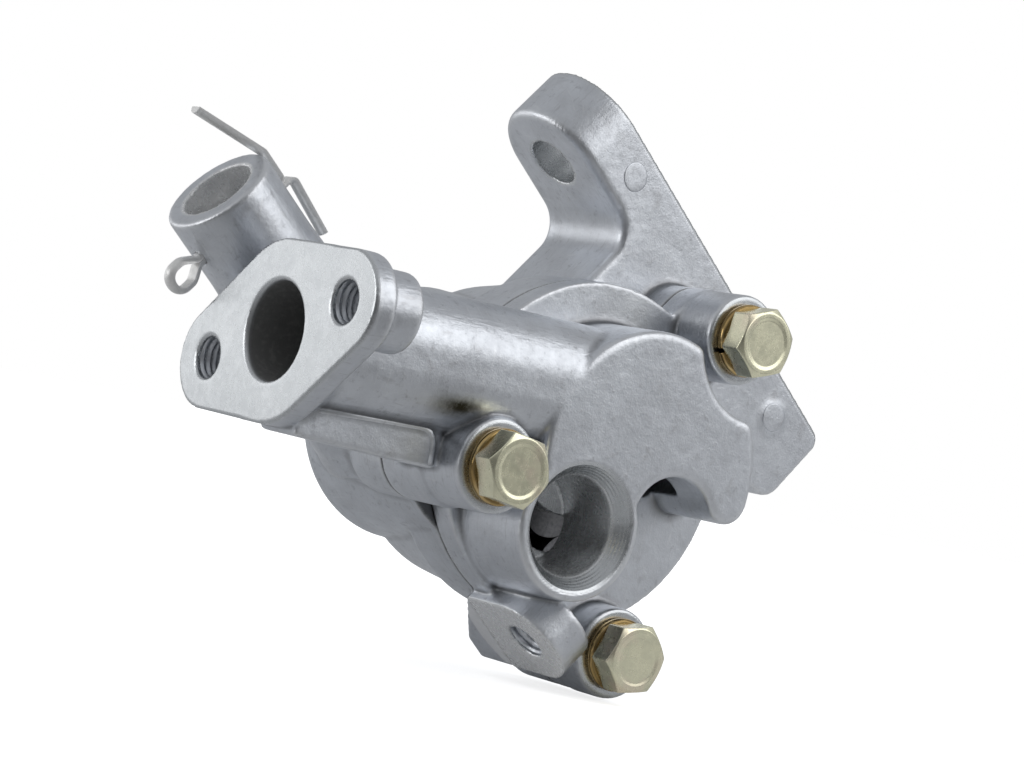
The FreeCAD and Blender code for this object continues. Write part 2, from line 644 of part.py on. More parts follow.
def make_arm():
    """Oval delivery arm, flared at its flange, with the rib below it."""
    inner_x = val("arm_inner_end")
    flare_x = flange_back_x + val("arm_flare_length")
    arm = Part.Face(arm_outline(flange_back_x, 0)).extrude(V(inner_x - flange_back_x, 0, 0))
    flare = Part.makeLoft([arm_outline(flange_back_x, val("arm_flare")), arm_outline(flare_x, 0)], True)
    rib_y = arm_y - val("rib_width") / 2.0
    rib_x = -val("rib_end")
    rib_low = arm_z - val("arm_radius") - val("rib_height")
    rib = plate([V(flange_back_x, rib_y, arm_z), V(rib_x, rib_y, arm_z),
                 V(rib_x, rib_y, rib_low), V(flange_back_x, rib_y, rib_low + val("rib_rise"))],
                OUT * val("rib_width"))
    rib = fillet(rib, val("rib_round"), lambda edge: abs(middle(edge).x - rib_x) < 1e-3
                 and (abs(middle(edge).z - rib_low) < 1e-3 or abs(middle(edge).y - rib_y) < 1e-3))
    return arm.multiFuse([flare, rib])


def make_flange_plate():
    """Two-hole flange outline: a middle disc and two ends, hulled."""
    tilt = math.radians(val("flange_tilt"))
    line = V(0, math.cos(tilt), -math.sin(tilt))
    up = V(0, math.sin(tilt), math.cos(tilt))
    centre = V(flange_x, arm_y, arm_z)
    thick = V(val("flange_thickness"), 0, 0)
    big = val("flange_middle_radius")
    small = val("flange_end_radius")
    pitch = val("flange_half_pitch")
    flange = cylinder(big, centre, centre + thick)
    holes = []
    turn = math.acos((big - small) / pitch)
    for way in (-1, 1):
        hole = centre + line * (pitch * way)
        holes.append(hole)
        end = cylinder(small, hole, hole + thick)
        lift = up * math.sin(turn)
        lean = line * (way * math.cos(turn))
        corners = [centre + (lift + lean) * big, hole + (lift + lean) * small,
                   hole + (lean - lift) * small, centre + (lean - lift) * big]
        flange = flange.multiFuse([end, plate(corners, thick)])
    flange = flange.removeSplitter()
    return fillet(flange, val("flange_edge"), lambda edge: abs(middle(edge).x - flange_back_x) < 1e-3), holes


def make_pad(pad_y):
    """Flat nose of the bracket pad, set across the slope."""
    along = val("pad_at")
    reach = val("pad_reach")
    radius = val("pad_radius")
    inward = ACROSS * -val("pad_wall")
    nose = cylinder(radius, slope_point(along, reach, pad_y) + inward, slope_point(along, reach, pad_y))
    bar = plate([slope_point(along - radius, reach, pad_y), slope_point(along + radius, reach, pad_y),
                 slope_point(along + radius, reach, joint_y), slope_point(along - radius, reach, joint_y)],
                inward)
    root = plate([slope_point(along - radius, reach, plate_y), slope_point(along + radius, reach, plate_y),
                  slope_point(along + radius, reach, joint_y), slope_point(along - radius, reach, joint_y)],
                 ACROSS * -val("pad_root"))
    return nose.multiFuse([bar, root])


def thread_cuts(mouth, inward, depth):
    """Tapped hole with its countersink."""
    radius = val("thread_radius")
    sink = val("thread_mouth") - radius
    return [cylinder(radius, mouth - inward, mouth + inward * depth),
            cone(radius + 2 * sink, radius, mouth - inward * sink, mouth + inward * sink)]


def make_cover():
    radii = {side: val(side + "_lobe_radius") for side in BOLTS}
    cover = joint_flange(plate_y, joint_y, radii)
    x, z, top = BOLTS["left"]
    cover = cover.fuse(cylinder(radii["left"], V(x, joint_y - val("left_lobe_depth"), z), V(x, joint_y, z)))
    for side in BOLTS:
        x, z, top = BOLTS[side]
        boss = cylinder(val("boss_radius"), V(x, top, z), V(x, plate_y + BITE, z))
        cover = cover.fuse(round_rim(boss, val("boss_round"), top))
    inlet = V(-val("inlet_across"), 0, -val("inlet_down"))
    boss_r = val("inlet_radius") + val("inlet_wall")
    inlet_boss = cone(boss_r, boss_r + val("inlet_boss_growth"),
                      inlet + OUT * front_y, inlet + OUT * (plate_y + BITE))
    x, z, top = BOLTS["left"]
    web = slab((x, z), (rotor_centre.x - val("web_inset_cover"), rotor_centre.z), val("left_web_width") / 2.0,
               top + val("left_web_drop"), plate_y + BITE)
    flange, holes = make_flange_plate()
    pad_y = joint_y - val("pad_forward")
    cover = cover.multiFuse([make_chamber(), inlet_boss, web, make_arm(), flange, make_pad(pad_y)])
    for hole in holes:
        start = V(flange_back_x - BITE, hole.y, hole.z)
        end = V(flange_back_x + val("flange_boss_length"), hole.y, hole.z)
        boss = cylinder(val("flange_boss_radius"), start, end)
        cover = cover.fuse(fillet(boss, val("boss_round"), lambda edge: edge.Closed
                                  and abs(middle(edge).x - end.x) < 1e-3))

    # machining
    cuts = [cylinder(val("arm_bore"), V(flange_x - 1, arm_y, arm_z), V(val("arm_bore_end"), arm_y, arm_z))]
    edge_break = val("arm_bore_edge")
    cuts.append(cone(val("arm_bore") + 2 * edge_break, val("arm_bore"),
                     V(flange_x - edge_break, arm_y, arm_z), V(flange_x + edge_break, arm_y, arm_z)))
    cuts.append(port_sector(joint_y - val("delivery_port_depth"), joint_y + 1, delivery_angle))
    cuts.append(port_sector(plate_y - BITE, joint_y + 1, inlet_angle))
    cuts.append(cylinder(val("inlet_radius"), inlet + OUT * (front_y - 1), inlet + OUT * plate_y))
    mouth_depth = val("inlet_mouth_depth")
    flare = val("inlet_mouth") - val("inlet_radius")
    cuts.append(cone(val("inlet_radius") + 2 * flare, val("inlet_radius"),
                     inlet + OUT * (front_y - mouth_depth), inlet + OUT * (front_y + mouth_depth)))
    for hole in holes:
        cuts.extend(thread_cuts(V(flange_x, hole.y, hole.z), V(1, 0, 0), val("flange_thread_depth")))
    cuts.extend(thread_cuts(slope_point(val("pad_at"), val("pad_reach"), pad_y), ACROSS * -1,
                            val("pad_thread_depth")))
    for side in BOLTS:
        x, z, top = BOLTS[side]
        cuts.append(cylinder(val("bolt_hole_radius"), V(x, top - 1, z), V(x, joint_y + 1, z)))
    for place in DOWELS:
        cuts.append(cylinder(val("dowel_radius"), V(place.x, joint_y + 1, place.z),
                             V(place.x, joint_y - val("dowel_length") / 2.0, place.z)))
    return cover.cut(Part.makeCompound(cuts))


feature("pump_cover", make_cover())


# Rotors
def trochoid(offset):
    """Points of the inner rotor: envelope of the outer rotor's round lobes."""
    lobes = int(val("rotor_lobes"))
    big = val("rotor_lobe_circle")
    small = val("rotor_lobe_radius") + offset
    points = []
    count = 24 * (lobes - 1)
    for step in range(count):
        t = 2 * math.pi * step / count
        turn = math.atan2(math.sin((1 - lobes) * t),
                          big / (ecc * lobes) - math.cos((1 - lobes) * t))
        x = big * math.cos(t) - small * math.cos(t + turn) - ecc * math.cos(lobes * t)
        z = -big * math.sin(t) + small * math.sin(t + turn) + ecc * math.sin(lobes * t)
        points.append(V(x, 0, z))
    return points


rotor_y0 = joint_y + val("rotor_end_play")
rotor_y1 = rotor_y0 + val("rotor_width")
curve = Part.BSplineCurve()
curve.interpolate(trochoid(val("rotor_tip_clearance")), PeriodicFlag=True)
inner = Part.Face(Part.Wire(curve.toShape())).extrude(OUT * val("rotor_width"))
inner.rotate(V(0, 0, 0), OUT, val("mount_slope"))
inner.translate(OUT * rotor_y0)
inner = inner.cut(cylinder(val("shaft_radius"), OUT * (rotor_y0 - 1), OUT * (rotor_y1 + 1)))
pin_y = rotor_y1 - val("pin_setback")
slot_half = val("pin_radius") + val("pin_slot_clearance")
slot_reach = val("pin_length") / 2.0 + val("pin_end_clearance")
slot = Part.makeBox(2 * slot_reach, rotor_y1 - pin_y + 1, 2 * slot_half, V(-slot_reach, pin_y, -slot_half))
slot = slot.fuse(cylinder(slot_half, V(-slot_reach, pin_y, 0), V(slot_reach, pin_y, 0)))
feature("inner_rotor", inner.cut(slot))


def make_outer_rotor():
    """Ring with round lobes; the roots clear the inner rotor's tips."""
    lobes = int(val("rotor_lobes"))
    at = rotor_centre
    big = val("rotor_lobe_circle")
    small = val("rotor_lobe_radius")
    root = big - small + 2 * ecc + val("rotor_root_clearance")
    ring = cylinder(val("outer_rotor_radius"), at + OUT * rotor_y0, at + OUT * rotor_y1)
    ring = ring.cut(cylinder(root, at + OUT * (rotor_y0 - 1), at + OUT * (rotor_y1 + 1)))
    room = cylinder(root + BITE, at + OUT * rotor_y0, at + OUT * rotor_y1)
    teeth = []
    for index in range(lobes):
        # one lobe sits in the inner rotor's valley opposite the eccentricity
        turn = math.pi + 2 * math.pi * index / lobes
        lobe_at = at + (ALONG * math.cos(turn) + ACROSS * math.sin(turn)) * big
        tooth = cylinder(small, lobe_at + OUT * rotor_y0, lobe_at + OUT * rotor_y1)
        teeth.append(tooth.common(room))
    return ring.multiFuse(teeth).removeSplitter()


feature("outer_rotor", make_outer_rotor())


# Turned parts: revolved sketches in their own bodies
def plane_of(part_body, role):
    """Origin plane of a body by its role."""
    for item in part_body.Origin.OriginFeatures:
        if item.Role == role:
            return item
    raise RuntimeError("no " + role)


def draw_loop(sketch, corners, terms):
    """Closed outline with every corner tied to sheet expressions."""
    count = len(corners)
    for index in range(count):
        first = corners[index]
        last = corners[(index + 1) % count]
        sketch.addGeometry(Part.LineSegment(V(first[0], first[1], 0), V(last[0], last[1], 0)), False)
    for index in range(count):
        follower = (index + 1) % count
        sketch.addConstraint(Sketcher.Constraint("Coincident", index, 2, follower, 1))
    for index in range(count):
        for axis, kind in ((0, "DistanceX"), (1, "DistanceY")):
            made = sketch.addConstraint(Sketcher.Constraint(kind, -1, 1, index, 1, corners[index][axis]))
            sketch.setExpression("Constraints[%d]" % made, terms[index][axis])


def turned(label, terms, placement, keep=True):
    """Revolve a closed (along, radius) outline about the local X axis."""
    corners = []
    for pair in terms:
        corners.append(tuple(number_of(term) for term in pair))
    made = doc.addObject("PartDesign::Body", label)
    made.Label = label
    sketch = made.newObject("Sketcher::SketchObject", label + "_profile")
    sketch.AttachmentSupport = [(plane_of(made, "XY_Plane"), "")]
    sketch.MapMode = "FlatFace"
    draw_loop(sketch, corners, terms)
    spin = made.newObject("PartDesign::Revolution", label + "_turn")
    spin.Profile = sketch
    spin.ReferenceAxis = (sketch, ["H_Axis"])
    spin.Angle = 360
    made.Tip = spin
    made.Placement = placement
    if keep:
        PARTS.append(made)
    return made


def number_of(term):
    """Number behind a sum of products written for the sheet."""
    words = {}
    for name in SIZES:
        words[name] = val(name)
    result = 0.0
    sign = 1.0
    for piece in term.replace("-", "+-").split("+"):
        piece = piece.strip()
        if not piece:
            continue
        sign = 1.0
        if piece.startswith("-"):
            sign = -1.0
            piece = piece[1:].strip()
        number = 1.0
        for factor in piece.split("*"):
            factor = factor.strip()
            if factor.startswith("dims."):
                number *= words[factor[5:]]
            else:
                number *= float(factor)
        result += sign * number
    return result


Y_WAY = FreeCAD.Rotation(V(1, 0, 0), V(0, 1, 0))
SHAFT = FreeCAD.Placement(V(0, 0, 0), Y_WAY)
JOINT = "0 - dims.seat_gap - dims.nose_length - dims.body_depth"
POCKET_FLOOR = JOINT + " + dims.rotor_width + 2 * dims.rotor_end_play"


def primitive(kind, label, sizes, places, turn=None):
    """Part primitive with its sizes and place bound to the sheet."""
    made = doc.addObject(kind, label)
    made.Label = label
    if turn is not None:
        made.Placement = FreeCAD.Placement(V(0, 0, 0), turn)
    for name, term in sizes.items():
        made.setExpression(name, term)
    for axis, term in places.items():
        made.setExpression("Placement.Base." + axis, term)
    return made


def joined(kind, label, first, last, keep=True):
    """Two-piece boolean."""
    made = doc.addObject(kind, label)
    made.Label = label
    made.Base = first
    made.Tool = last
    if keep:
        PARTS.append(made)
    return made


X_AXIS = FreeCAD.Rotation(V(0, 0, 1), V(1, 0, 0))
Y_AXIS = FreeCAD.Rotation(V(0, 0, 1), V(0, 1, 0))

# Shaft, its bush, key and drive pin
shaft_front = JOINT + " + dims.shaft_front_gap"
shaft_blank = turned("shaft_blank", [
    (shaft_front, "0"),
    (shaft_front, "dims.shaft_radius - 0.6"),
    (shaft_front + " + 0.6", "dims.shaft_radius"),
    ("0", "dims.shaft_radius"),
    ("0", "dims.seat_radius"),
    ("dims.seat_length", "dims.seat_radius"),
    ("dims.seat_length", "dims.tail_radius"),
    ("dims.seat_length + dims.tail_length - 0.8", "dims.tail_radius"),
    ("dims.seat_length + dims.tail_length", "dims.tail_radius - 0.8"),
    ("dims.seat_length + dims.tail_length", "0")], SHAFT, keep=False)
KEY_TOP = "dims.seat_radius + dims.key_stand"
key_disc = primitive("Part::Cylinder", "key_disc",
                     {"Radius": "dims.key_radius", "Height": "dims.key_width"},
                     {"x": "-dims.key_width / 2", "y": "dims.seat_length / 2",
                      "z": KEY_TOP + " - dims.key_height + dims.key_radius"}, X_AXIS)
key_limit = primitive("Part::Box", "key_limit",
                      {"Length": "2 * dims.key_width", "Width": "4 * dims.key_radius",
                       "Height": KEY_TOP},
                      {"x": "-dims.key_width", "y": "dims.seat_length / 2 - 2 * dims.key_radius"})
woodruff_key = joined("Part::Common", "woodruff_key", key_disc, key_limit)
PIN_PLACE = {"x": "-dims.pin_length / 2",
             "y": JOINT + " + dims.rotor_end_play + dims.rotor_width - dims.pin_setback"}
PIN_SIZE = {"Radius": "dims.pin_radius", "Height": "dims.pin_length"}
drive_pin = primitive("Part::Cylinder", "rotor_drive_pin", PIN_SIZE, PIN_PLACE, X_AXIS)
PARTS.append(drive_pin)
slotted = joined("Part::Cut", "shaft_with_keyway", shaft_blank, key_disc, keep=False)
joined("Part::Cut", "drive_shaft", slotted, drive_pin)

bush_in = "dims.shaft_radius + dims.shaft_clearance"
bush_out = bush_in + " + dims.bush_wall"
bush_end = "0 - dims.seat_gap - 0.5"
turned("shaft_bush", [
    (POCKET_FLOOR, bush_in), (bush_end, bush_in), (bush_end, bush_out),
    (POCKET_FLOOR, bush_out)], SHAFT)

# Relief valve pieces: local X runs from the bore end to the tube mouth
valve_way = FreeCAD.Rotation(V(1, 0, 0), ALONG * -1)
VALVE = FreeCAD.Placement(slope_point(-val("relief_bore_end"), val("relief_offset"), relief_y), valve_way)
plunger_r = "dims.relief_bore - dims.plunger_clearance"
cup_r = plunger_r + " - dims.plunger_wall"
cup_floor = "1.7 * dims.plunger_wall"
turned("relief_plunger", [
    ("0", "0"), ("0", plunger_r + " - 1.6"), ("1.4", plunger_r), ("dims.plunger_length", plunger_r),
    ("dims.plunger_length", cup_r), (cup_floor, cup_r), (cup_floor, "0")], VALVE)
cap_back = ("dims.relief_reach - dims.split_pin_from_mouth - dims.relief_bore_end"
            " - dims.split_leg_radius - dims.split_leg_gap * 0.5")
cap_front = cap_back + " - dims.cap_flange"
stem_r = cup_r + " - dims.spring_side_gap - 2 * dims.spring_wire - 0.25"
cap_r = "dims.relief_bore - dims.cap_gap"
turned("relief_spring_seat", [
    (cap_front + " - dims.cap_stem", "0"), (cap_front + " - dims.cap_stem", stem_r),
    (cap_front, stem_r), (cap_front, cap_r), (cap_back, cap_r), (cap_back, "0")], VALVE)


def make_spring():
    """Helical spring, ground flat between the plunger and its seat."""
    low = number_of(cup_floor)
    high = number_of(cap_front)
    wire = val("spring_wire")
    coil = number_of(cup_r) - val("spring_side_gap") - wire
    pitch = (high - low) / val("spring_turns")
    helix = Part.makeHelix(pitch, high - low + 0.6 * pitch, coil)
    helix.translate(V(0, 0, low - 0.3 * pitch))
    start = V(coil, 0, low - 0.3 * pitch)
    lead = V(0, coil, pitch / (2 * math.pi))
    ring = Part.Wire(Part.makeCircle(wire, start, lead))
    body_shape = Part.Wire(helix.Edges).makePipeShell([ring], True, True)
    sleeve = Part.makeCylinder(coil + 2 * wire, high - low, V(0, 0, low))
    spring = body_shape.common(sleeve)
    spring.rotate(V(0, 0, 0), V(0, 1, 0), 90)
    spring.Placement = VALVE.multiply(spring.Placement)
    return spring


feature("relief_spring", make_spring())


def rounded_path(points, radii):
    """Wire of straight runs joined by tangent arcs at the inner points."""
    edges = []
    last = points[0]
    for index in range(1, len(points) - 1):
        corner = points[index]
        back = (points[index - 1] - corner).normalize()
        ahead = (points[index + 1] - corner).normalize()
        half = back.getAngle(ahead) / 2.0
        reach = radii[index - 1] / math.tan(half)
        enter = corner + back * reach
        leave = corner + ahead * reach
        bisector = (back + ahead).normalize()
        centre = corner + bisector * (radii[index - 1] / math.sin(half))
        top = centre + bisector * -radii[index - 1]
        if (enter - last).Length > 1e-6:
            edges.append(Part.LineSegment(last, enter).toShape())
        edges.append(Part.Arc(enter, top, leave).toShape())
        last = leave
    edges.append(Part.LineSegment(last, points[-1]).toShape())
    return Part.Wire(edges)


def make_split_pin():
    """Half-round wire doubled into an eye, legs bent apart past the tube."""
    wire = val("split_leg_radius")
    inner = val("relief_offset") - relief_outer
    outer = val("relief_offset") + relief_outer
    gap = val("split_leg_gap") / 2.0
    neck = outer + val("split_eye_neck")
    shoulder = neck + val("split_eye_shoulder")
    eye_end = outer + val("split_eye_reach") - wire
    eye = val("split_eye_width") / 2.0 - wire
    mouth = -val("relief_reach")
    long_leg = inner - wire - val("split_leg_stand")
    short_leg = inner - wire - val("split_short_stand")
    short_tip = inner - wire - val("split_short_close")
    places = [(inner + val("split_long_drop"), mouth - val("split_long_tip")),
              (long_leg, mouth + val("split_rim_bend")), (long_leg, pin_e - gap),
              (neck, pin_e - gap), (shoulder, pin_e - eye), (eye_end, pin_e - eye),
              (eye_end, pin_e + eye), (shoulder, pin_e + eye), (neck, pin_e + gap),
              (short_leg, pin_e + gap), (short_tip, pin_e + val("split_short_tip"))]
    points = [slope_point(along, across, relief_y) for across, along in places]
    tight = 1.12 * wire
    wide = 1.35 * wire
    end = 0.95 * eye
    path = rounded_path(points, [wide, tight, tight, wide, end, end, wide, tight, tight])
    start = points[0]
    way = (points[1] - points[0]).normalize()
    side = OUT.cross(way).normalize()
    if side.dot(ALONG) < 0:
        side = side * -1
    arc = Part.Arc(start + OUT * wire, start + side * wire, start - OUT * wire).toShape()
    flat = Part.LineSegment(start - OUT * wire, start + OUT * wire).toShape()
    profile = Part.Wire([arc, flat])
    shell = Part.BRepOffsetAPI.MakePipeShell(path)
    shell.setBiNormalMode(OUT)
    shell.add(profile, False, False)
    shell.setTransitionMode(0)
    shell.build()
    shell.makeSolid()
    return shell.shape()


feature("relief_split_pin", make_split_pin())

# Cover bolts, spring washers and dowels
for side in ("left", "upper", "lower"):
    here = {"x": "dims.%s_bolt_x" % side, "z": "dims.%s_bolt_z" % side}
    under = JOINT + " - dims.%s_boss_height - dims.washer_thickness" % side
    head_top = under + " - dims.head_height"
    grip = "dims.washer_thickness + dims.%s_boss_height + dims.bolt_engagement" % side
    head_way = Y_AXIS.multiply(FreeCAD.Rotation(V(0, 0, 1), -val(side + "_head_turn")))
    hexagon = primitive("Part::Prism", side + "_head_hexagon",
                        {"Circumradius": "dims.head_across_flats / sqrt(3)",
                         "Height": "dims.head_height"}, dict(here, y=head_top), head_way)
    hexagon.Polygon = 6
    crown = primitive("Part::Cone", side + "_head_crown",
                      {"Radius1": "dims.head_crown_radius",
                       "Radius2": "dims.head_crown_radius + dims.head_height / tan(30deg)",
                       "Height": "dims.head_height"}, dict(here, y=head_top), Y_AXIS)
    head = joined("Part::Common", side + "_head", hexagon, crown, keep=False)
    shank = primitive("Part::Cylinder", side + "_shank",
                      {"Radius": "dims.bolt_radius", "Height": grip}, dict(here, y=under), Y_AXIS)
    joined("Part::Fuse", "cover_bolt_" + side, head, shank)
    ring = primitive("Part::Cylinder", side + "_washer_disc",
                     {"Radius": "dims.washer_radius", "Height": "dims.washer_thickness"},
                     dict(here, y=under), Y_AXIS)
    hole = primitive("Part::Cylinder", side + "_washer_hole",
                     {"Radius": "dims.washer_bore", "Height": "dims.washer_thickness"},
                     dict(here, y=under), Y_AXIS)
    slit = primitive("Part::Box", side + "_washer_slit",
                     {"Length": "dims.washer_slit", "Width": "dims.washer_thickness",
                      "Height": "2 * dims.washer_radius"},
                     {"x": "dims.%s_bolt_x - dims.washer_slit / 2" % side, "y": under,
                      "z": "dims.%s_bolt_z - 2 * dims.washer_radius" % side})
    open_ring = joined("Part::Cut", side + "_washer_ring", ring, hole, keep=False)
    joined("Part::Cut", "spring_washer_" + side, open_ring, slit)

for index, place in enumerate(DOWELS):
    dowel = primitive("Part::Cylinder", "cover_dowel_%d" % (index + 1),
                      {"Radius": "dims.dowel_radius", "Height": "dims.dowel_length"},
                      {"y": JOINT + " - dims.dowel_length / 2"}, Y_AXIS)
    dowel.Placement.Base = V(place.x, dowel.Placement.Base.y, place.z)
    PARTS.append(dowel)


doc.recompute()
os.makedirs("parts", exist_ok=True)
for item in doc.Objects:
    if "Invalid" in item.State or "Error" in item.State:
        raise RuntimeError("failed: " + item.Label)
for item in PARTS:
    if item.Shape.isNull() or not item.Shape.isValid() or len(item.Shape.Solids) != 1:
        raise RuntimeError("bad solid: " + item.Label)
for item in PARTS:
    item.Shape.exportStep("parts/%s.step" % item.Label)
print("pieces:", len(PARTS))
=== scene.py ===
import json
import math

import bmesh
import bpy
import numpy as np
from mathutils import Matrix, Vector


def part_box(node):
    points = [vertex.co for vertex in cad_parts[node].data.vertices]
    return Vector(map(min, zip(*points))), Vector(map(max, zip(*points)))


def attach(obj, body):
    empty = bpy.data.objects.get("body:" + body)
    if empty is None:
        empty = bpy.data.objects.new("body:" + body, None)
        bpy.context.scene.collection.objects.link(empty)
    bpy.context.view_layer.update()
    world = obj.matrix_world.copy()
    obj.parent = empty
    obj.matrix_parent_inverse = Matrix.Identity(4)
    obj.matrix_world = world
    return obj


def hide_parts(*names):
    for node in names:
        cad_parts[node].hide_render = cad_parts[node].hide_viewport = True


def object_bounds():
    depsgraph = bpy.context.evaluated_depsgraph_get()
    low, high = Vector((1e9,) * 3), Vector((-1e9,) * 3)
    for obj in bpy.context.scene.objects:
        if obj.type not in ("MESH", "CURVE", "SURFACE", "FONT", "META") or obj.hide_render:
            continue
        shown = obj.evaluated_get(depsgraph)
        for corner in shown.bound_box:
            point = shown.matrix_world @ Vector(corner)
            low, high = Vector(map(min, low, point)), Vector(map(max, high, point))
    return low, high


# Engine oil pump. The castings and bolts are remeshed copies of the frame's
# solids: the castings get blended corners, the bolts worn edges and dished
# heads. The spring washers, thread ridges, ejector marks and the web's raised
# edge are built here. Metres, in the frame's own axes.

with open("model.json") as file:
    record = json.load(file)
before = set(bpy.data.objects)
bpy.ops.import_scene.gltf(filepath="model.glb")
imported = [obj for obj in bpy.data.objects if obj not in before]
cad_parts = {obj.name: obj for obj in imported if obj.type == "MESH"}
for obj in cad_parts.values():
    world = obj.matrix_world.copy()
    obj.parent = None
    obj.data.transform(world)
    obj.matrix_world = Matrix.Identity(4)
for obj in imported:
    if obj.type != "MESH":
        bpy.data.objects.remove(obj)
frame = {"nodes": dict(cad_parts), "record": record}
nodes = frame["nodes"]
cad_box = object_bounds()
MM = 0.001
SIDES = ("left", "upper", "lower")
TAPPED_HOLES = ("delivery_thread_front", "delivery_thread_rear", "pad_thread")
MOUNTING_HOLES = ("mounting_hole_lug", "mounting_hole_foot")
BORES = ("delivery_bore", "pickup_bore") + TAPPED_HOLES + MOUNTING_HOLES

# Directions: the pump's front, and along and across the slope on which the
# relief valve and the bracket lie
FRONT = Vector((0, -1, 0))
SLOPE = math.radians(39.2)
ALONG = Vector((math.cos(SLOPE), 0, -math.sin(SLOPE)))
ACROSS = Vector((-math.sin(SLOPE), 0, -math.cos(SLOPE)))


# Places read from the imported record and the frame
def mount(name):
    """Place, axis and sizes of a mount."""
    for item in frame["record"]["mounts"]:
        if item["name"] == name:
            return Vector(item["pos_m"]), Vector(item["axis"]), item["dims"]
    raise RuntimeError("no mount " + name)


def bolt_top(side):
    """Middle of the top of a cover bolt's head, from its own box."""
    low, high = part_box("cover_bolt_" + side)
    return Vector(((low.x + high.x) / 2, low.y, (low.z + high.z) / 2))


BORE, BORE_OUT = mount("delivery_bore")[:2]
PICKUP, PICKUP_OUT = mount("pickup_bore")[:2]
PAD, PAD_OUT = mount("pad_thread")[:2]
PAD_FACE = mount("pad_face")[0]
PAD_REACH = 16 * MM
BLOCK_FACE = mount("mounting_face")[0]
FLANGE_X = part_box("pump_cover")[0].x
JOINT_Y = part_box("pump_body")[0].y
BODY_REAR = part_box("pump_body")[1].y


# Mesh helpers
NORMALS_KEPT = 4    # passes of soften that share one set of normals
HOLE_SKIN = 0.3 * MM    # how far round a hole its cut surface goes
HOLE_FADE = 0.5 * MM    # width over which it fades there


def link(name, data):
    """Object in the scene from its mesh, lamp or camera data."""
    made = bpy.data.objects.new(name, data)
    bpy.context.scene.collection.objects.link(made)
    return made


def vertex_rows(mesh, key):
    """A vector of each vertex as rows of an array."""
    flat = np.empty(len(mesh.vertices) * 3, np.float32)
    mesh.vertices.foreach_get(key, flat)
    return flat.reshape(-1, 3).astype(np.float64)


def points_of(mesh):
    """Vertex places as an array."""
    return vertex_rows(mesh, "co")


def normals_of(mesh):
    """Vertex normals as an array."""
    return vertex_rows(mesh, "normal")


def baked(piece):
    """Mesh of an object with its modifiers applied."""
    depsgraph = bpy.context.evaluated_depsgraph_get()
    mesh = bpy.data.meshes.new_from_object(piece.evaluated_get(depsgraph))
    piece.modifiers.clear()
    old = piece.data
    piece.data = mesh
    bpy.data.meshes.remove(old)
    return mesh


def mark(mesh, name, values):
    """Store a per-vertex value that a material can read."""
    layer = mesh.attributes.new(name, "FLOAT", "POINT")
    layer.data.foreach_set("value", np.ascontiguousarray(values, np.float32))


class Web:
    """Neighbour table of a mesh, for averaging over its edges."""

    def __init__(self, mesh):
        self.count = len(mesh.vertices)
        pairs = np.empty(len(mesh.edges) * 2, np.int32)
        mesh.edges.foreach_get("vertices", pairs)
        pairs = pairs.reshape(-1, 2)
        self.ends = np.concatenate([pairs[:, 0], pairs[:, 1]])
        self.others = np.concatenate([pairs[:, 1], pairs[:, 0]])
        self.degree = np.bincount(self.ends, minlength=self.count).astype(np.float64)

    def mean(self, co):
        """Mean place of each vertex's neighbours."""
        sums = [np.bincount(self.ends, weights=co[self.others, axis], minlength=self.count)
                for axis in range(3)]
        return np.stack(sums, axis=1) / self.degree[:, None]


def place_points(mesh, co):
    """Write vertex places back."""
    mesh.vertices.foreach_set("co", co.astype(np.float32).ravel())
    mesh.update()


def soften(mesh, web, passes, fill, hold):
    """Blend a remeshed surface where hold is low: all corners, then only hollows."""
    co = points_of(mesh)
    held = hold(co) if hold else np.zeros(len(co))
    loose = 1.0 - np.clip(held, 0, 1)
    for step in range(passes + fill):
        move = (web.mean(co) - co) * (0.5 * loose)[:, None]
        if step >= passes:
            if (step - passes) % NORMALS_KEPT == 0:
                place_points(mesh, co)
                outward = normals_of(mesh)
            rise = np.einsum("ij,ij->i", move, outward)
            move = outward * np.maximum(rise, 0)[:, None]
        co += move
    place_points(mesh, co)


def mark_relief(mesh, web, passes):
    """Store how far each place lies in a hollow (+) or on a ridge (-), in mm; the material paints shade in
    the hollows and a highlight on the ridges.
    """
    co = points_of(mesh)
    flat = co.copy()
    for step in range(passes):
        flat += (web.mean(flat) - flat) * 0.6
    depth = np.einsum("ij,ij->i", flat - co, normals_of(mesh)) / MM
    mark(mesh, "hollow", np.clip(depth, 0, 2))
    mark(mesh, "ridge", np.clip(-depth, 0, 2))


def softened(node, name, voxel, passes, fill=0, relief=0, hold=None):
    """Remeshed and blended copy of a node; relief is a number of passes or 0."""
    piece = link(name, nodes[node].data.copy())
    remesh = piece.modifiers.new("remesh", "REMESH")
    remesh.mode = "VOXEL"
    remesh.voxel_size = voxel
    mesh = baked(piece)
    web = Web(mesh)
    soften(mesh, web, passes, fill, hold)
    if relief:
        mark_relief(mesh, web, relief)
    for polygon in mesh.polygons:
        polygon.use_smooth = True
    mesh.materials.clear()
    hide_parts(node)
    return piece


def lofted(name, rings, closed=True):
    """Object skinned over rings of points; closed rings get caps at both ends."""
    form = bmesh.new()
    rows = [[form.verts.new(point) for point in ring] for ring in rings]
    for last, ring in zip(rows[:-1], rows[1:]):
        for step in range(len(ring) if closed else len(ring) - 1):
            other = (step + 1) % len(ring)
            if len(last) == 1:
                form.faces.new((last[0], ring[other], ring[step]))
            else:
                form.faces.new((last[step], last[other], ring[other], ring[step]))
    if closed:
        for row in (rows[0], rows[-1][::-1]):
            if len(row) > 1:
                form.faces.new(row)
    bmesh.ops.recalc_face_normals(form, faces=form.faces)
    mesh = bpy.data.meshes.new(name)
    form.to_mesh(mesh)
    form.free()
    for polygon in mesh.polygons:
        polygon.use_smooth = len(polygon.vertices) < 5
    return link(name, mesh)


def ramp(value, start, end):
    """0 before start, 1 after end, straight between."""
    return np.clip((value - start) / (end - start), 0, 1)


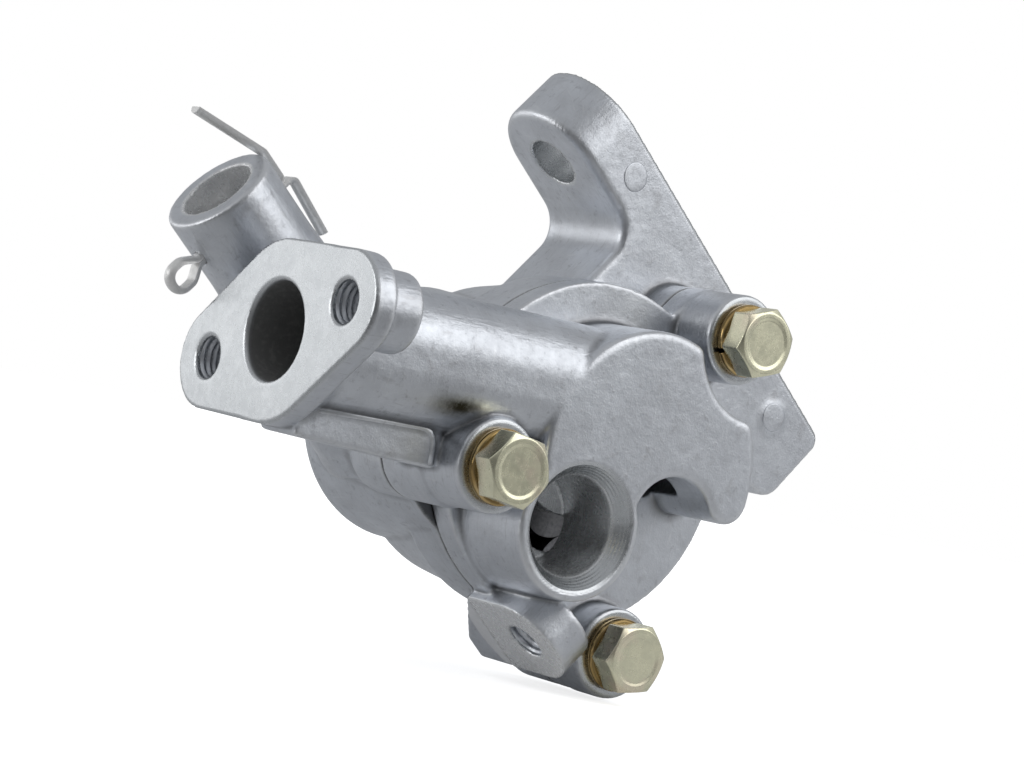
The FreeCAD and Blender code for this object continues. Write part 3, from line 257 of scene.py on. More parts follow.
def off_axis(co, place, axis):
    """Distance from an axis and height along it."""
    rel = co - np.array(place)
    way = np.array(axis)
    height = rel @ way
    return np.linalg.norm(rel - np.outer(height, way), axis=1), height


def near_hole(co, place, axis, radius, low, high):
    """1 on and just round a hole between two heights on its axis."""
    distance, height = off_axis(co, place, axis)
    inside = 1 - ramp(distance, radius + HOLE_SKIN, radius + HOLE_SKIN + HOLE_FADE)
    return inside * (height > low) * (height < high)


def near_mount(co, name, low, high, radius=None):
    """1 on and just round a mount's hole, or out to another radius round it."""
    place, axis, dims = mount(name)
    return near_hole(co, place, axis, radius or dims["r_mm"] * MM, low, high)


# What is machined on each casting
HOLE_REACH = 20 * MM
BRACKET_REACH = 30 * MM
PICKUP_RIM = 12.4 * MM
PICKUP_RIM_START = 7 * MM
TAPPED_MOUTH = 4.4 * MM
BOLT_SEAT = 8.3 * MM
BOLT_HEAD = 7.8 * MM
VALVE_REACH = 60 * MM
VALVE_MARGIN = 10 * MM


def cover_machined(co):
    """1 on the machined faces and holes of the cover."""
    on_flange = 1 - ramp(co[:, 0], FLANGE_X + 0.25 * MM, FLANGE_X + 0.9 * MM)
    pad_height = co @ np.array(ACROSS)
    pad_level = PAD_FACE.dot(ACROSS)
    on_pad = ramp(pad_height, pad_level - 0.35 * MM, pad_level - 0.1 * MM)
    on_pad = on_pad * (off_axis(co, PAD, PAD_OUT)[0] < PAD_REACH)
    holes = [near_mount(co, "pickup_bore", PICKUP_RIM_START, HOLE_REACH, PICKUP_RIM),
             near_mount(co, "pickup_bore", -HOLE_REACH, HOLE_REACH)]
    for name in TAPPED_HOLES:
        holes.append(near_mount(co, name, -HOLE_REACH, HOLE_REACH, TAPPED_MOUTH))
    for side in SIDES:
        holes.append(near_hole(co, bolt_top(side), FRONT, BOLT_SEAT, -BOLT_HEAD, 0.0))
    return np.max(np.stack([on_flange, on_pad] + holes), axis=0)


def body_machined(co):
    """1 on the machined faces and holes of the body."""
    height = co @ np.array(ACROSS)
    level = BLOCK_FACE.dot(ACROSS)
    on_block = 1 - ramp(height, level + 0.25 * MM, level + 0.8 * MM)
    on_nose = ramp(co[:, 1], BODY_REAR - 0.3 * MM, BODY_REAR - 0.1 * MM)
    holes = [near_mount(co, name, -BRACKET_REACH, BRACKET_REACH) for name in MOUNTING_HOLES]
    holes.append(near_mount(co, "valve_mouth", -VALVE_REACH, VALVE_MARGIN))
    return np.max(np.stack([on_block, on_nose] + holes), axis=0)


# Where the remeshed castings are drawn back to shape
WALL_BAND = 0.35 * MM
WALL_END = 0.2 * MM
FOOT_CORNER = 3.6 * MM
FOOT_SIDE = 50 * MM


def true_up(mesh):
    """Draw the walls of the bored holes back to their exact radius."""
    co = points_of(mesh)
    for name in BORES:
        place, axis, dims = mount(name)
        radius = dims["r_mm"] * MM
        reach = dims["length_mm"] / 2 * MM - WALL_END
        distance, height = off_axis(co, place, axis)
        wall = (np.abs(distance - radius) < WALL_BAND) & (np.abs(height) < reach)
        middle_line = np.array(place) + np.outer(height[wall], np.array(axis))
        co[wall] = middle_line + (co[wall] - middle_line) * (radius / distance[wall])[:, None]
    place_points(mesh, co)


def round_foot(mesh):
    """Round the foot's outer end corner to the photograph's radius."""
    co = points_of(mesh)
    along, out = np.array(ALONG), -np.array(ACROSS)
    end = np.max((co @ along)[co @ out > FOOT_SIDE])
    face = np.max(co @ out)
    inner = np.stack([co @ along - (end - FOOT_CORNER), co @ out - (face - FOOT_CORNER)], axis=1)
    gap = np.linalg.norm(inner, axis=1)
    corner = (inner > 0).all(axis=1) & (gap > FOOT_CORNER)
    excess = inner[corner] * (1 - FOOT_CORNER / gap[corner])[:, None]
    co[corner] -= excess[:, :1] * along + excess[:, 1:] * out
    place_points(mesh, co)


# Raised edge of the web under the delivery arm: X and Z of its path in mm,
# along the web's top and down its inner end
WEB_EDGE = [(-71.0, -2.75), (-60.0, -2.5), (-47.9, -2.3), (-46.6, -2.45), (-45.5, -2.95), (-44.8, -3.8),
            (-44.4, -4.9), (-44.2, -6.4), (-44.1, -9.0)]
WEB_FACE = -66.7 * MM
WEB_TOP = -2.4 * MM
WEB_END = -44.3 * MM
WEB_CORNER = -48.7 * MM
SHADE_FRONT = -64.5 * MM
SHADE_END = -43 * MM
SHADE_BOTTOM = -9 * MM
BEAD_HALF_WIDTH = 0.62 * MM
BEAD_RISE = 0.24 * MM
BEAD_POINTS = 12


def web_shade(co):
    """Painted shade: 1 in the narrow hollow outside the web's raised edge."""
    path = np.array(WEB_EDGE) * MM
    near = np.full(len(co), 1.0)
    for start, end in zip(path[:-1], path[1:]):
        rel = co[:, (0, 2)] - start
        way = end - start
        share = np.clip(rel @ way / (way @ way), 0, 1)
        near = np.minimum(near, np.linalg.norm(rel - share[:, None] * way, axis=1))
    outside = (co[:, 2] > WEB_TOP) | (co[:, 0] > WEB_END) | ((co[:, 0] + co[:, 2]) > WEB_CORNER)
    front = (co[:, 1] < SHADE_FRONT) & (co[:, 0] < SHADE_END) & (co[:, 2] > SHADE_BOTTOM)
    return (1 - ramp(near, 0.5 * MM, 2.0 * MM)) * outside * front


def web_edge():
    """Rounded bead along the web's raised edge."""
    path = [Vector((x * MM, WEB_FACE, z * MM)) for x, z in WEB_EDGE]
    rings = []
    for index, place in enumerate(path):
        before = path[max(index - 1, 0)]
        after = path[min(index + 1, len(path) - 1)]
        aside = (after - before).normalized().cross(FRONT)
        ring = []
        for step in range(BEAD_POINTS):
            angle = 2 * math.pi * step / BEAD_POINTS
            ring.append(place + aside * (BEAD_HALF_WIDTH * math.cos(angle))
                        + FRONT * (BEAD_RISE * math.sin(angle)))
        rings.append(ring)
    piece = lofted("web_edge", rings)
    # A small ridge value paints a highlight along the bead
    mark(piece.data, "ridge", np.full(len(piece.data.vertices), 0.25))
    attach(piece, "casing")
    return piece


# Marks on the castings that the material reads
SEAM_REACH = 52 * MM
# Painted shadow on the arm's front: its middle, half sizes and front edge
ARM_SHADOW_X = -43.0 * MM
ARM_SHADOW_Z = 2.8 * MM
ARM_SHADOW_HALF_LENGTH = 8.0 * MM
ARM_SHADOW_HALF_HEIGHT = 2.7 * MM
ARM_SHADOW_FRONT = -64 * MM
BORE_MOUTH = 1.6 * MM


def seam_shade(co):
    """Painted shade: 1 on the dark gap of the castings' joint line, and a little less in the web's hollow."""
    joint_shade = 1 - ramp(np.abs(co[:, 1] - JOINT_Y), 0.10 * MM, 0.42 * MM)
    joint_shade = joint_shade * (np.hypot(co[:, 0], co[:, 2]) < SEAM_REACH)
    return np.maximum(joint_shade, 0.8 * web_shade(co))


def arm_shadow_mask(co):
    """Painted shadow: 1 in the middle of the dark patch on the arm's front."""
    along = ramp(ARM_SHADOW_HALF_LENGTH - np.abs(co[:, 0] - ARM_SHADOW_X), 0, 7 * MM)
    upright = ramp(ARM_SHADOW_HALF_HEIGHT - np.abs(co[:, 2] - ARM_SHADOW_Z), 0, 2.2 * MM)
    return along * upright * (co[:, 1] < ARM_SHADOW_FRONT)


def cut_paleness_and_light(co):
    """How pale the pad's face and the cut walls look: paler bare metal, brightened further as painted light.
    """
    pad_height = co @ np.array(PAD_OUT)
    on_pad = (off_axis(co, PAD, PAD_OUT)[0] < PAD_REACH) & (pad_height > PAD_FACE.dot(PAD_OUT) - 0.3 * MM)
    pale = [on_pad * 1.0,
            near_mount(co, "valve_mouth", -50 * MM, VALVE_MARGIN),
            0.35 * near_mount(co, "mounting_hole_lug", -BRACKET_REACH, BRACKET_REACH),
            0.6 * near_mount(co, "pickup_bore", -HOLE_REACH, HOLE_REACH)]
    return np.max(np.stack(pale), axis=0)


def bore_depth_shade(co):
    """Painted shade: 1 on the wall deep in the delivery bore, 0 at its mouth and inner end."""
    distance = off_axis(co, BORE, BORE_OUT)[0]
    outwards = -co[:, 0]
    wall = (1 - ramp(distance, 9.35 * MM, 9.8 * MM)) * ramp(outwards, 0.0, 20 * MM)
    return wall * (1 - ramp(outwards, -FLANGE_X - BORE_MOUTH, -FLANGE_X))


# The two castings
VOXEL = 0.36 * MM
BLEND_PASSES = 7
FILL_PASSES = 14
RELIEF_PASSES = 24

body = softened("pump_body", "casting_body", VOXEL, BLEND_PASSES, FILL_PASSES, RELIEF_PASSES,
                body_machined)
cover = softened("pump_cover", "casting_cover", VOXEL, BLEND_PASSES, FILL_PASSES, RELIEF_PASSES,
                 cover_machined)
round_foot(body.data)
for piece, machined in ((body, body_machined), (cover, cover_machined)):
    true_up(piece.data)
    places = points_of(piece.data)
    mark(piece.data, "machined", machined(places))
    mark(piece.data, "joint_shade", seam_shade(places))
    mark(piece.data, "turned", off_axis(places, PICKUP, PICKUP_OUT)[0] / MM)
    mark(piece.data, "arm_shade_patch", arm_shadow_mask(places))
    mark(piece.data, "pale", cut_paleness_and_light(places))
    mark(piece.data, "bore_depth_shade", bore_depth_shade(places))
    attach(piece, "casing")


raised_edge = web_edge()


# Bolts and their spring washers
FASTENER_VOXEL = 0.13 * MM
FASTENER_PASSES = 2
DISH_DEPTH = 0.14 * MM
DISH_FLOOR = 4.6 * MM
DISH_RIM = 5.3 * MM
WASHER_BORE = 4.15 * MM
WASHER_STEPS = 120
WASHER_ROUNDING = 0.42
SLIT_AT = {"left": 300, "upper": 205, "lower": 330}
SLIT = 8


def dish_head(piece, place):
    """Slightly sunk top inside the rim that heading leaves on a bolt."""
    co = points_of(piece.data)
    distance, height = off_axis(co, place, FRONT)
    on_top = ramp(height, -0.35 * MM, -0.1 * MM)
    sunk = 1 - ramp(distance, DISH_FLOOR, DISH_RIM)
    co[:, 1] += DISH_DEPTH * sunk * on_top
    place_points(piece.data, co)


def washer(side):
    """Spring washer: one open coil of rounded section."""
    low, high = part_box("spring_washer_" + side)
    middle_x, middle_y, middle_z = [(low[axis] + high[axis]) / 2 for axis in range(3)]
    thick = high.y - low.y
    outer = (high.x - low.x) / 2
    corner = WASHER_ROUNDING * thick
    wide = (outer - WASHER_BORE) / 2 - corner
    tall = thick / 2 - corner
    section = []
    for away, forth, first in ((wide, tall, 0), (-wide, tall, 90), (-wide, -tall, 180), (wide, -tall, 270)):
        for step in range(7):
            angle = math.radians(first + 15 * step)
            section.append((away + corner * math.cos(angle), forth + corner * math.sin(angle)))
    rings = []
    for step in range(WASHER_STEPS + 1):
        turn = math.radians(SLIT_AT[side] + SLIT / 2 + (360 - SLIT) * step / WASHER_STEPS)
        ring = []
        for away, forth in section:
            radius = (outer + WASHER_BORE) / 2 + away
            ring.append((middle_x + radius * math.cos(turn), middle_y + forth,
                         middle_z + radius * math.sin(turn)))
        rings.append(ring)
    piece = lofted("washer_" + side, rings)
    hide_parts("spring_washer_" + side)
    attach(piece, "casing")


for side in SIDES:
    bolt = softened("cover_bolt_" + side, "bolt_" + side, FASTENER_VOXEL, FASTENER_PASSES)
    dish_head(bolt, bolt_top(side))
    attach(bolt, "casing")
for side in SIDES:
    washer(side)


# Round marks that the ejector pins leave on the body's front: the height of the
# middle in mm, then radius and height of each ring, down into the cast face
MARK_CROWN = 0.11
MARK_RINGS = ((1.5, 0.115), (2.75, 0.10), (2.98, 0.07), (3.1, 0.0), (3.12, -0.4))
MARK_POINTS = 64


def ejector_mark(name, x, y, z):
    """Low disc with a rounded rim, proud of the cast face by a tenth."""
    rings = [[(x, y - MARK_CROWN * MM, z)]]
    for radius, rise in MARK_RINGS:
        ring = []
        for step in range(MARK_POINTS):
            angle = 2 * math.pi * step / MARK_POINTS
            ring.append((x + radius * MM * math.cos(angle), y - rise * MM, z + radius * MM * math.sin(angle)))
        rings.append(ring)
    piece = lofted(name, rings)
    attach(piece, "casing")
    return piece


marks = [ejector_mark("ejector_mark_lug", 11.84 * MM, -40.8 * MM, 56.29 * MM),
         ejector_mark("ejector_mark_foot", 61.76 * MM, -41.1 * MM, 14.02 * MM)]


# Threads in the tapped holes
THREAD_RADIUS = 4.0 * MM
THREAD_PITCH = 1.25 * MM
THREAD_HEIGHT = 0.54 * THREAD_PITCH
THREAD_STEPS = 40
DELIVERY_THREAD_DEPTH = 11.0 * MM
PAD_THREAD_DEPTH = 9.5 * MM


def thread(name, mouth, out, depth):
    """Helical ridge inside a tapped hole, from its mouth inwards."""
    side = out.orthogonal().normalized()
    other = out.cross(side)
    root = THREAD_RADIUS + 0.05 * MM
    steps = int(depth / THREAD_PITCH * THREAD_STEPS)
    rings = []
    for step in range(steps + 1):
        turn = 2 * math.pi * step / THREAD_STEPS
        way = side * math.cos(turn) + other * math.sin(turn)
        sink = THREAD_PITCH * step / THREAD_STEPS + 0.6 * THREAD_PITCH
        fade = min(1.0, step / THREAD_STEPS, (steps - step) / THREAD_STEPS)
        crest = THREAD_RADIUS + 0.03 * MM - THREAD_HEIGHT * fade
        section = ((root, -0.46), (crest, -0.08), (crest, 0.08), (root, 0.46))
        rings.append([mouth + way * radius - out * (sink + share * THREAD_PITCH)
                      for radius, share in section])
    piece = lofted(name, rings, closed=False)
    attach(piece, "casing")
    return piece


threads = []
for name in ("delivery_thread_front", "delivery_thread_rear"):
    place, axis = mount(name)[:2]
    mouth = Vector((FLANGE_X, place.y, place.z))
    threads.append(thread(name + "_ridge", mouth, axis, DELIVERY_THREAD_DEPTH))
pad_mouth = PAD + PAD_OUT * (PAD_FACE.dot(PAD_OUT) - PAD.dot(PAD_OUT))
threads.append(thread("pad_thread_ridge", pad_mouth, PAD_OUT, PAD_THREAD_DEPTH))


# Material helpers
def new_material(name, base, metallic, roughness):
    """Principled material and its node tree."""
    made = bpy.data.materials.new(name)
    made.use_nodes = True
    tree = made.node_tree
    surface = tree.nodes["Principled BSDF"]
    surface.inputs["Base Color"].default_value = (*base, 1)
    surface.inputs["Metallic"].default_value = metallic
    surface.inputs["Roughness"].default_value = roughness
    return made, tree, surface


def object_place(tree):
    """Place in the object's own axes."""
    return tree.nodes.new("ShaderNodeTexCoord").outputs["Object"]


def noise(tree, scale, detail=4.0, rough=0.55):
    """Noise in object space."""
    made = tree.nodes.new("ShaderNodeTexNoise")
    made.inputs["Scale"].default_value = scale
    made.inputs["Detail"].default_value = detail
    made.inputs["Roughness"].default_value = rough
    tree.links.new(object_place(tree), made.inputs["Vector"])
    return made.outputs["Fac"]


def spread(tree, value, low, high, to_low, to_high):
    """Map a value range, clamped."""
    made = tree.nodes.new("ShaderNodeMapRange")
    for key, number in zip(("From Min", "From Max", "To Min", "To Max"), (low, high, to_low, to_high)):
        made.inputs[key].default_value = number
    tree.links.new(value, made.inputs["Value"])
    return made.outputs["Result"]


def combine(tree, kind, first, second):
    """Math node on two sockets or numbers."""
    made = tree.nodes.new("ShaderNodeMath")
    made.operation = kind
    for index, item in enumerate((first, second)):
        if isinstance(item, (int, float)):
            made.inputs[index].default_value = item
        else:
            tree.links.new(item, made.inputs[index])
    return made.outputs[0]


def times(tree, first, second):
    """Product of two sockets or numbers."""
    return combine(tree, "MULTIPLY", first, second)


def plus(tree, first, second):
    """Sum of two sockets or numbers."""
    return combine(tree, "ADD", first, second)


def minus(tree, first, second):
    """First socket or number less the second."""
    return combine(tree, "SUBTRACT", first, second)


def blend_colour(tree, share, first, second):
    """Mix two colours or sockets."""
    made = tree.nodes.new("ShaderNodeMix")
    made.data_type = "RGBA"
    tree.links.new(share, made.inputs["Factor"])
    for key, item in ((6, first), (7, second)):
        if isinstance(item, tuple):
            made.inputs[key].default_value = (*item, 1)
        else:
            tree.links.new(item, made.inputs[key])
    return made.outputs[2]


def vertex_value(tree, name):
    """Value stored on the mesh."""
    made = tree.nodes.new("ShaderNodeAttribute")
    made.attribute_name = name
    return made.outputs["Fac"]


def bumped(tree, surface, height, distance, strength=1.0):
    """Bump on the surface normal."""
    made = tree.nodes.new("ShaderNodeBump")
    made.inputs["Distance"].default_value = distance
    made.inputs["Strength"].default_value = strength
    tree.links.new(height, made.inputs["Height"])
    tree.links.new(made.outputs["Normal"], surface.inputs["Normal"])


def bands(tree, direction, scale, distortion):
    """Fine tool lines along one axis of the object."""
    made = tree.nodes.new("ShaderNodeTexWave")
    made.bands_direction = direction
    made.inputs["Scale"].default_value = scale
    made.inputs["Distortion"].default_value = distortion
    made.inputs["Detail"].default_value = 2.0
    tree.links.new(object_place(tree), made.inputs["Vector"])
    return made.outputs["Fac"]


def brushed(tree, stretch, scale):
    """Fine streaks: noise drawn out across one direction."""
    made = tree.nodes.new("ShaderNodeTexNoise")
    made.inputs["Scale"].default_value = scale
    made.inputs["Detail"].default_value = 3.0
    made.inputs["Distortion"].default_value = 0.35
    turn = tree.nodes.new("ShaderNodeMapping")
    turn.inputs["Rotation"].default_value = (0.5, 0.7, 0.3)
    turn.inputs["Scale"].default_value = stretch
    tree.links.new(object_place(tree), turn.inputs["Vector"])
    tree.links.new(turn.outputs["Vector"], made.inputs["Vector"])
    return made.outputs["Fac"]


# Tones of the cast alloy, in linear red, green and blue
SKIN_COOL = (0.60, 0.62, 0.655)
SKIN_LIGHT = (0.70, 0.725, 0.765)
PORE = (0.30, 0.305, 0.32)
SPARKLE = (0.82, 0.83, 0.84)
BRIGHT_PATCH = (0.745, 0.77, 0.815)
STAIN = (0.40, 0.405, 0.415)
DARK_STREAK = (0.40, 0.40, 0.41)
LIGHT_STREAK = (0.86, 0.87, 0.88)
# Painted shade for the hollows, then bare metal that also serves as a painted highlight
CREASE_SHADE_TONE = (0.13, 0.13, 0.135)
BARE_METAL_HIGHLIGHT = (0.86, 0.865, 0.87)
FACE_DARK = (0.57, 0.59, 0.605)
FACE_LIGHT = (0.65, 0.67, 0.685)
FACE_SPECK = (0.50, 0.50, 0.50)
# Painted shadow on the arm's front
ARM_SHADOW_TONE = (0.055, 0.052, 0.035)
# Painted shade for the gap of the castings' joint
JOINT_SHADE_TONE = (0.05, 0.05, 0.052)
# Painted shade deep in the delivery bore, then its lighter specks
BORE_DARK = (0.26, 0.26, 0.258)
BORE_LIGHT = (0.52, 0.51, 0.50)


def skin_colour(tree, fine, grain, cloud, streak):
    """Mottled and stained cast skin, with painted shade in its hollows and a painted highlight on its ridges.
    """
    colour = blend_colour(tree, spread(tree, cloud, 0.36, 0.66, 0, 1), SKIN_COOL, SKIN_LIGHT)
    layers = ((grain, 0.58, 0.74, 0.55, PORE),
              (fine, 0.56, 0.76, 0.30, SPARKLE),
              (noise(tree, 32, 3), 0.42, 0.68, 0.45, BRIGHT_PATCH),
              (noise(tree, 64, 6, 0.68), 0.54, 0.72, 0.38, STAIN),
              (streak, 0.60, 0.72, 0.35, DARK_STREAK),
              (brushed(tree, (10, 1, 1), 200), 0.62, 0.74, 0.30, LIGHT_STREAK))
    for pattern, low, high, share, tone in layers:
        colour = blend_colour(tree, spread(tree, pattern, low, high, 0, share), colour, tone)
    # Painted shade darkens the hollows and a painted highlight lightens the ridges
    crease_shade = spread(tree, vertex_value(tree, "hollow"), 0.02, 0.20, 0, 1)
    crest = spread(tree, vertex_value(tree, "ridge"), 0.06, 0.40, 0, 1)
    colour = blend_colour(tree, times(tree, crease_shade, 0.78), colour, CREASE_SHADE_TONE)
    return blend_colour(tree, times(tree, crest, 0.6), colour, BARE_METAL_HIGHLIGHT)


def face_colour(tree, grain, cloud):
    """Machined face: more even than the skin, with few specks."""
    colour = blend_colour(tree, spread(tree, cloud, 0.3, 0.7, 0, 1), FACE_DARK, FACE_LIGHT)
    return blend_colour(tree, spread(tree, grain, 0.62, 0.80, 0, 0.12), colour, FACE_SPECK)


def alloy_height(tree, fine, grain, cloud, streak, cut):
    """Relief of the skin, or of the tool's lines where the casting is machined."""
    coarse = plus(tree, times(tree, grain, 0.65), times(tree, cloud, 1.1))
    skin = plus(tree, times(tree, fine, 0.3), coarse)
    skin = plus(tree, skin, times(tree, streak, 0.9))
    radius = vertex_value(tree, "turned")
    rings = combine(tree, "SINE", times(tree, radius, 14.0), 0.0)
    rings = times(tree, rings, spread(tree, radius, 12.6, 13.4, 0.10, 0.0))
    lines = plus(tree, rings, times(tree, bands(tree, "Y", 1400, 0.6), 0.07))
    lines = plus(tree, lines, times(tree, cloud, 0.12))
    return plus(tree, times(tree, skin, minus(tree, 1.0, cut)), times(tree, lines, cut))


def cast_alloy():
    """Die-cast aluminium: mottled satin skin, evener machined faces, and painted shade deep in the delivery
    bore.
    """
    made, tree, surface = new_material("cast_alloy", (0.6, 0.6, 0.62), 1.0, 0.45)
    fine = noise(tree, 2300, 3, 0.65)
    grain = noise(tree, 620, 5, 0.65)
    cloud = noise(tree, 120, 5, 0.62)
    streak = brushed(tree, (1, 9, 1), 260)
    cut = vertex_value(tree, "machined")
    dark = vertex_value(tree, "bore_depth_shade")
    pale = vertex_value(tree, "pale")
    skin = skin_colour(tree, fine, grain, cloud, streak)
    colour = blend_colour(tree, cut, skin, face_colour(tree, grain, cloud))
    # Painted shadow on the arm's front, broken up by the grain
    arm_shadow_share = times(tree, vertex_value(tree, "arm_shade_patch"), spread(tree, grain, 0.3, 0.55, 0.55, 1.0))
    colour = blend_colour(tree, arm_shadow_share, colour, ARM_SHADOW_TONE)
    # Painted shade along the castings' joint and in the web's hollow
    colour = blend_colour(tree, times(tree, vertex_value(tree, "joint_shade"), 0.85), colour, JOINT_SHADE_TONE)
    # Painted shade deep in the delivery bore, with lighter specks
    speckle = spread(tree, noise(tree, 900, 4), 0.50, 0.75, 0, 0.4)
    colour = blend_colour(tree, dark, colour, blend_colour(tree, speckle, BORE_DARK, BORE_LIGHT))
    # Pale bare metal on the pad and cut walls, brightened further as painted light
    colour = blend_colour(tree, times(tree, pale, 0.8), colour, BARE_METAL_HIGHLIGHT)
    tree.links.new(colour, surface.inputs["Base Color"])
    matte = minus(tree, spread(tree, grain, 0.3, 0.7, 0.30, 0.44), spread(tree, cut, 0, 1, 0, 0.10))
    matte = plus(tree, matte, times(tree, dark, 0.25))
    tree.links.new(matte, surface.inputs["Roughness"])
    sheen = minus(tree, spread(tree, dark, 0, 1, 1.0, 0.35), times(tree, pale, 0.55))
    tree.links.new(sheen, surface.inputs["Metallic"])
    bumped(tree, surface, alloy_height(tree, fine, grain, cloud, streak, cut), 0.1 * MM, 0.9)
    return made


def plated(name, main, shaded, tinted, roughness, ringed=0.0):
    """Zinc plate with its drifting passivation tints, and dark rings along Y if ringed."""
    made, tree, surface = new_material(name, main, 1.0, roughness)
    cloud = noise(tree, 330, 3, 0.5)
    drift = noise(tree, 150, 2, 0.5)
    colour = blend_colour(tree, spread(tree, cloud, 0.36, 0.66, 0, 1), main, shaded)
    colour = blend_colour(tree, spread(tree, drift, 0.52, 0.72, 0, 0.8), colour, tinted)
    lines = spread(tree, bands(tree, "Y", 430, 1.2), 0.25, 0.75, 0, ringed)
    colour = blend_colour(tree, lines, colour, tuple(0.28 * part for part in main))
    tree.links.new(colour, surface.inputs["Base Color"])
    matte = spread(tree, noise(tree, 700, 3), 0.3, 0.7, roughness - 0.04, roughness + 0.05)
    tree.links.new(matte, surface.inputs["Roughness"])
    bumped(tree, surface, noise(tree, 520, 2), 0.03 * MM, 0.5)
    return made


def drawn_steel(name, base, roughness, scale=900, shade=0.62, metallic=1.0):
    """Ground or drawn steel with fine scratches."""
    made, tree, surface = new_material(name, base, metallic, roughness)
    streak = noise(tree, scale, 5, 0.7)
    darker = tuple(shade * part for part in base)
    colour = blend_colour(tree, spread(tree, streak, 0.35, 0.7, 0, 1), base, darker)
    tree.links.new(colour, surface.inputs["Base Color"])
    matte = spread(tree, streak, 0.3, 0.7, roughness - 0.05, roughness + 0.12)
    tree.links.new(matte, surface.inputs["Roughness"])
    bumped(tree, surface, streak, 0.02 * MM, 0.7)
    return made


def dress(piece, material):
    """Give a piece or a frame node its one material."""
    piece.data.materials.clear()
    piece.data.materials.append(material)


# Materials, and the pieces that wear them
cast = cast_alloy()
zinc = plated("zinc_plate", (0.95, 0.92, 0.68), (0.84, 0.82, 0.61), (0.93, 0.81, 0.64), 0.25)
gold = plated("washer_plate", (0.66, 0.46, 0.19), (0.42, 0.28, 0.12), (0.76, 0.58, 0.30), 0.17, 0.8)
bright = drawn_steel("ground_steel", (0.62, 0.62, 0.63), 0.24, 420, 0.86)
wire = drawn_steel("split_pin_steel", (0.97, 0.965, 0.95), 0.34, 900, 0.88, 0.45)
sintered = drawn_steel("sintered_steel", (0.30, 0.30, 0.31), 0.42, 1600)
coil = drawn_steel("spring_steel", (0.26, 0.26, 0.27), 0.36)
bronze = drawn_steel("bearing_bronze", (0.58, 0.40, 0.18), 0.30)
for piece in [body, cover, raised_edge] + threads + marks:
    dress(piece, cast)
for side in SIDES:
    dress(bpy.data.objects["bolt_" + side], zinc)
    dress(bpy.data.objects["washer_" + side], gold)
for name in ("drive_shaft", "rotor_drive_pin", "woodruff_key", "relief_plunger", "relief_spring_seat",
             "cover_dowel_1", "cover_dowel_2"):
    dress(nodes[name], bright)
for name, material in (("inner_rotor", sintered), ("outer_rotor", sintered), ("shaft_bush", bronze),
                       ("relief_spring", coil), ("relief_split_pin", wire)):
    dress(nodes[name], material)


# Floor, background and light
FLOOR_REACH = 3.0
FLOOR_GAP = 0.6 * MM
FLOOR_TONE = (0.86, 0.86, 0.86)
NEAR_FLOOR_TONE = (0.30, 0.30, 0.30)
NEAR_SIDE = (-0.6, -0.8, 0)
DIM_SIDE = (-0.36, -0.82, -0.44)
SKY_TONE = (0.95, 0.97, 1.0)
LAMP_DISTANCE = 0.75


def reach_towards(tree, place, way):
    """How far a place lies in a direction."""
    made = tree.nodes.new("ShaderNodeVectorMath")
    made.operation = "DOT_PRODUCT"
    made.inputs[1].default_value = way
    tree.links.new(place, made.inputs[0])
    return made.outputs["Value"]


def distance_of(tree, place):
    """How far a place lies from the origin."""
    made = tree.nodes.new("ShaderNodeVectorMath")
    made.operation = "LENGTH"
    tree.links.new(place, made.inputs[0])
    return made.outputs["Value"]


def floor_card():
    """Card that is darker on the camera's side and that the camera sees as white."""
    made, tree, surface = new_material("studio_floor", FLOOR_TONE, 0.0, 0.9)
    place = object_place(tree)
    nearer = spread(tree, reach_towards(tree, place, NEAR_SIDE), 0.06, 0.22, 0, 1)
    tree.links.new(blend_colour(tree, nearer, FLOOR_TONE, NEAR_FLOOR_TONE), surface.inputs["Base Color"])
    surface.inputs["Specular IOR Level"].default_value = 0.0
    level = spread(tree, distance_of(tree, place), 0.10, 0.45, 0.74, 1.05)
    level = plus(tree, level, times(tree, nearer, 0.3))
    seen = tree.nodes.new("ShaderNodeLightPath").outputs["Is Camera Ray"]
    glow = tree.nodes.new("ShaderNodeEmission")
    tree.links.new(times(tree, seen, level), glow.inputs["Strength"])
    total = tree.nodes.new("ShaderNodeAddShader")
    tree.links.new(surface.outputs[0], total.inputs[0])
    tree.links.new(glow.outputs[0], total.inputs[1])
    tree.links.new(total.outputs[0], tree.nodes["Material Output"].inputs["Surface"])
    return made


def studio_floor():
    """Large square just below the pump."""
    level = cad_box[0].z - FLOOR_GAP
    corners = [(-1, -1), (1, -1), (1, 1), (-1, 1)]
    mesh = bpy.data.meshes.new("studio_floor")
    mesh.from_pydata([(FLOOR_REACH * x, FLOOR_REACH * y, level) for x, y in corners], [], [(0, 1, 2, 3)])
    floor = link("studio_floor", mesh)
    mesh.materials.append(floor_card())


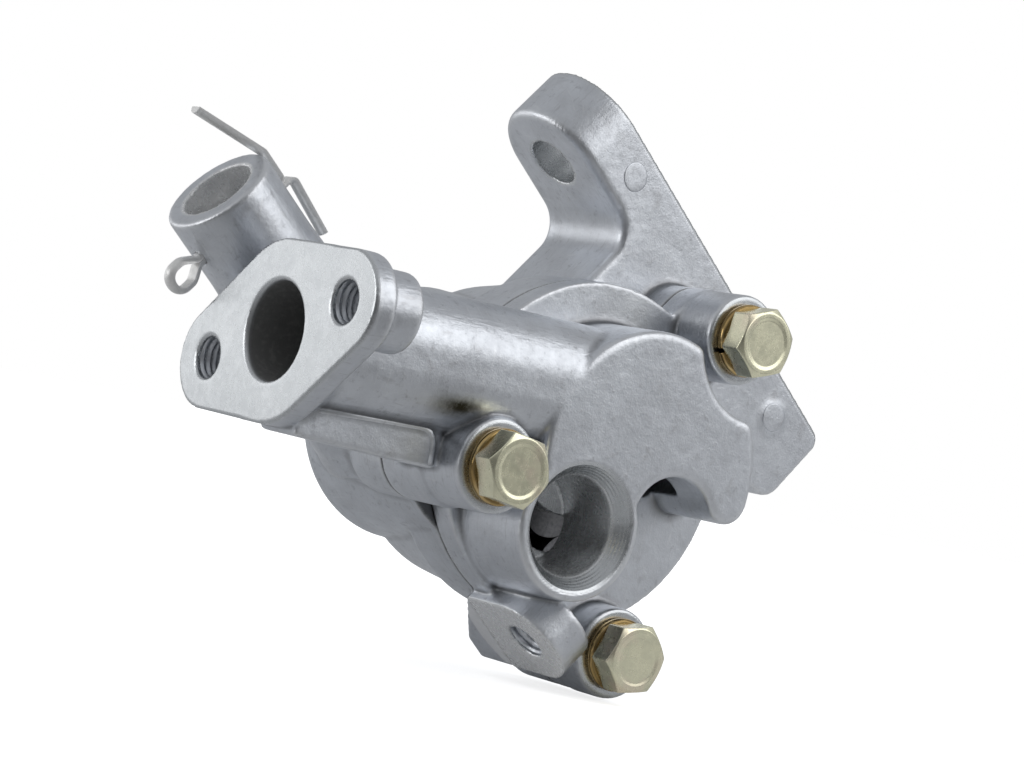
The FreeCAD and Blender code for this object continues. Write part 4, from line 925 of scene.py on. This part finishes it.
def studio_world():
    """Soft light from all round, dimmer from one side, and white where the camera looks."""
    world = bpy.data.worlds.new("studio")
    bpy.context.scene.world = world
    world.use_nodes = True
    tree = world.node_tree
    sky = tree.nodes["Background"]
    place = tree.nodes.new("ShaderNodeTexCoord").outputs["Generated"]
    split = tree.nodes.new("ShaderNodeSeparateXYZ")
    tree.links.new(place, split.inputs[0])
    height = spread(tree, split.outputs["Z"], -0.2, 0.8, 0.41, 0.47)
    dim = spread(tree, reach_towards(tree, place, DIM_SIDE), 0.25, 0.9, 1.0, 0.22)
    tree.links.new(times(tree, height, dim), sky.inputs["Strength"])
    sky.inputs["Color"].default_value = (*SKY_TONE, 1)
    path = tree.nodes.new("ShaderNodeLightPath")
    white = tree.nodes.new("ShaderNodeBackground")
    white.inputs["Color"].default_value = (1, 1, 1, 1)
    white.inputs["Strength"].default_value = 1.0
    mix = tree.nodes.new("ShaderNodeMixShader")
    tree.links.new(path.outputs["Is Camera Ray"], mix.inputs[0])
    tree.links.new(sky.outputs[0], mix.inputs[1])
    tree.links.new(white.outputs[0], mix.inputs[2])
    tree.links.new(mix.outputs[0], tree.nodes["World Output"].inputs["Surface"])


def softbox(name, direction, size, power):
    """Square studio light that looks at the middle of the pump."""
    lamp = bpy.data.lights.new(name, "AREA")
    lamp.shape = "SQUARE"
    lamp.size = size
    lamp.energy = power
    made = link(name, lamp)
    middle = (cad_box[0] + cad_box[1]) / 2
    made.location = middle + Vector(direction).normalized() * LAMP_DISTANCE
    made.rotation_euler = (middle - made.location).to_track_quat("-Z", "Y").to_euler()


studio_floor()
studio_world()
softbox("key", (0.46, -0.66, 0.47), 0.60, 1.3)
softbox("left", (-1.0, 0.22, 0.0), 0.55, 1.5)
softbox("rear", (-0.50, 0.85, 0.02), 0.50, 0.6)


# Camera fitted to the photograph: where it stands, its own axes and its lens
CAMERA_PLACE = (-0.3715, -0.5164, 0.0002)
RIGHT = Vector((0.7786, -0.5970, 0.1936))
UP = Vector((-0.1631, 0.1055, 0.9810))
BACK = Vector((-0.6060, -0.7953, -0.0152))
SENSOR_WIDTH = 36.0
LENS = 104.73

camera_data = bpy.data.cameras.new("camera")
camera_data.sensor_width = SENSOR_WIDTH
camera_data.lens = LENS
camera = link("camera", camera_data)
turn = Matrix((RIGHT, UP, BACK)).transposed().to_4x4()
camera.matrix_world = Matrix.Translation(CAMERA_PLACE) @ turn
bpy.context.scene.camera = camera
bpy.context.scene.view_settings.view_transform = "Standard"
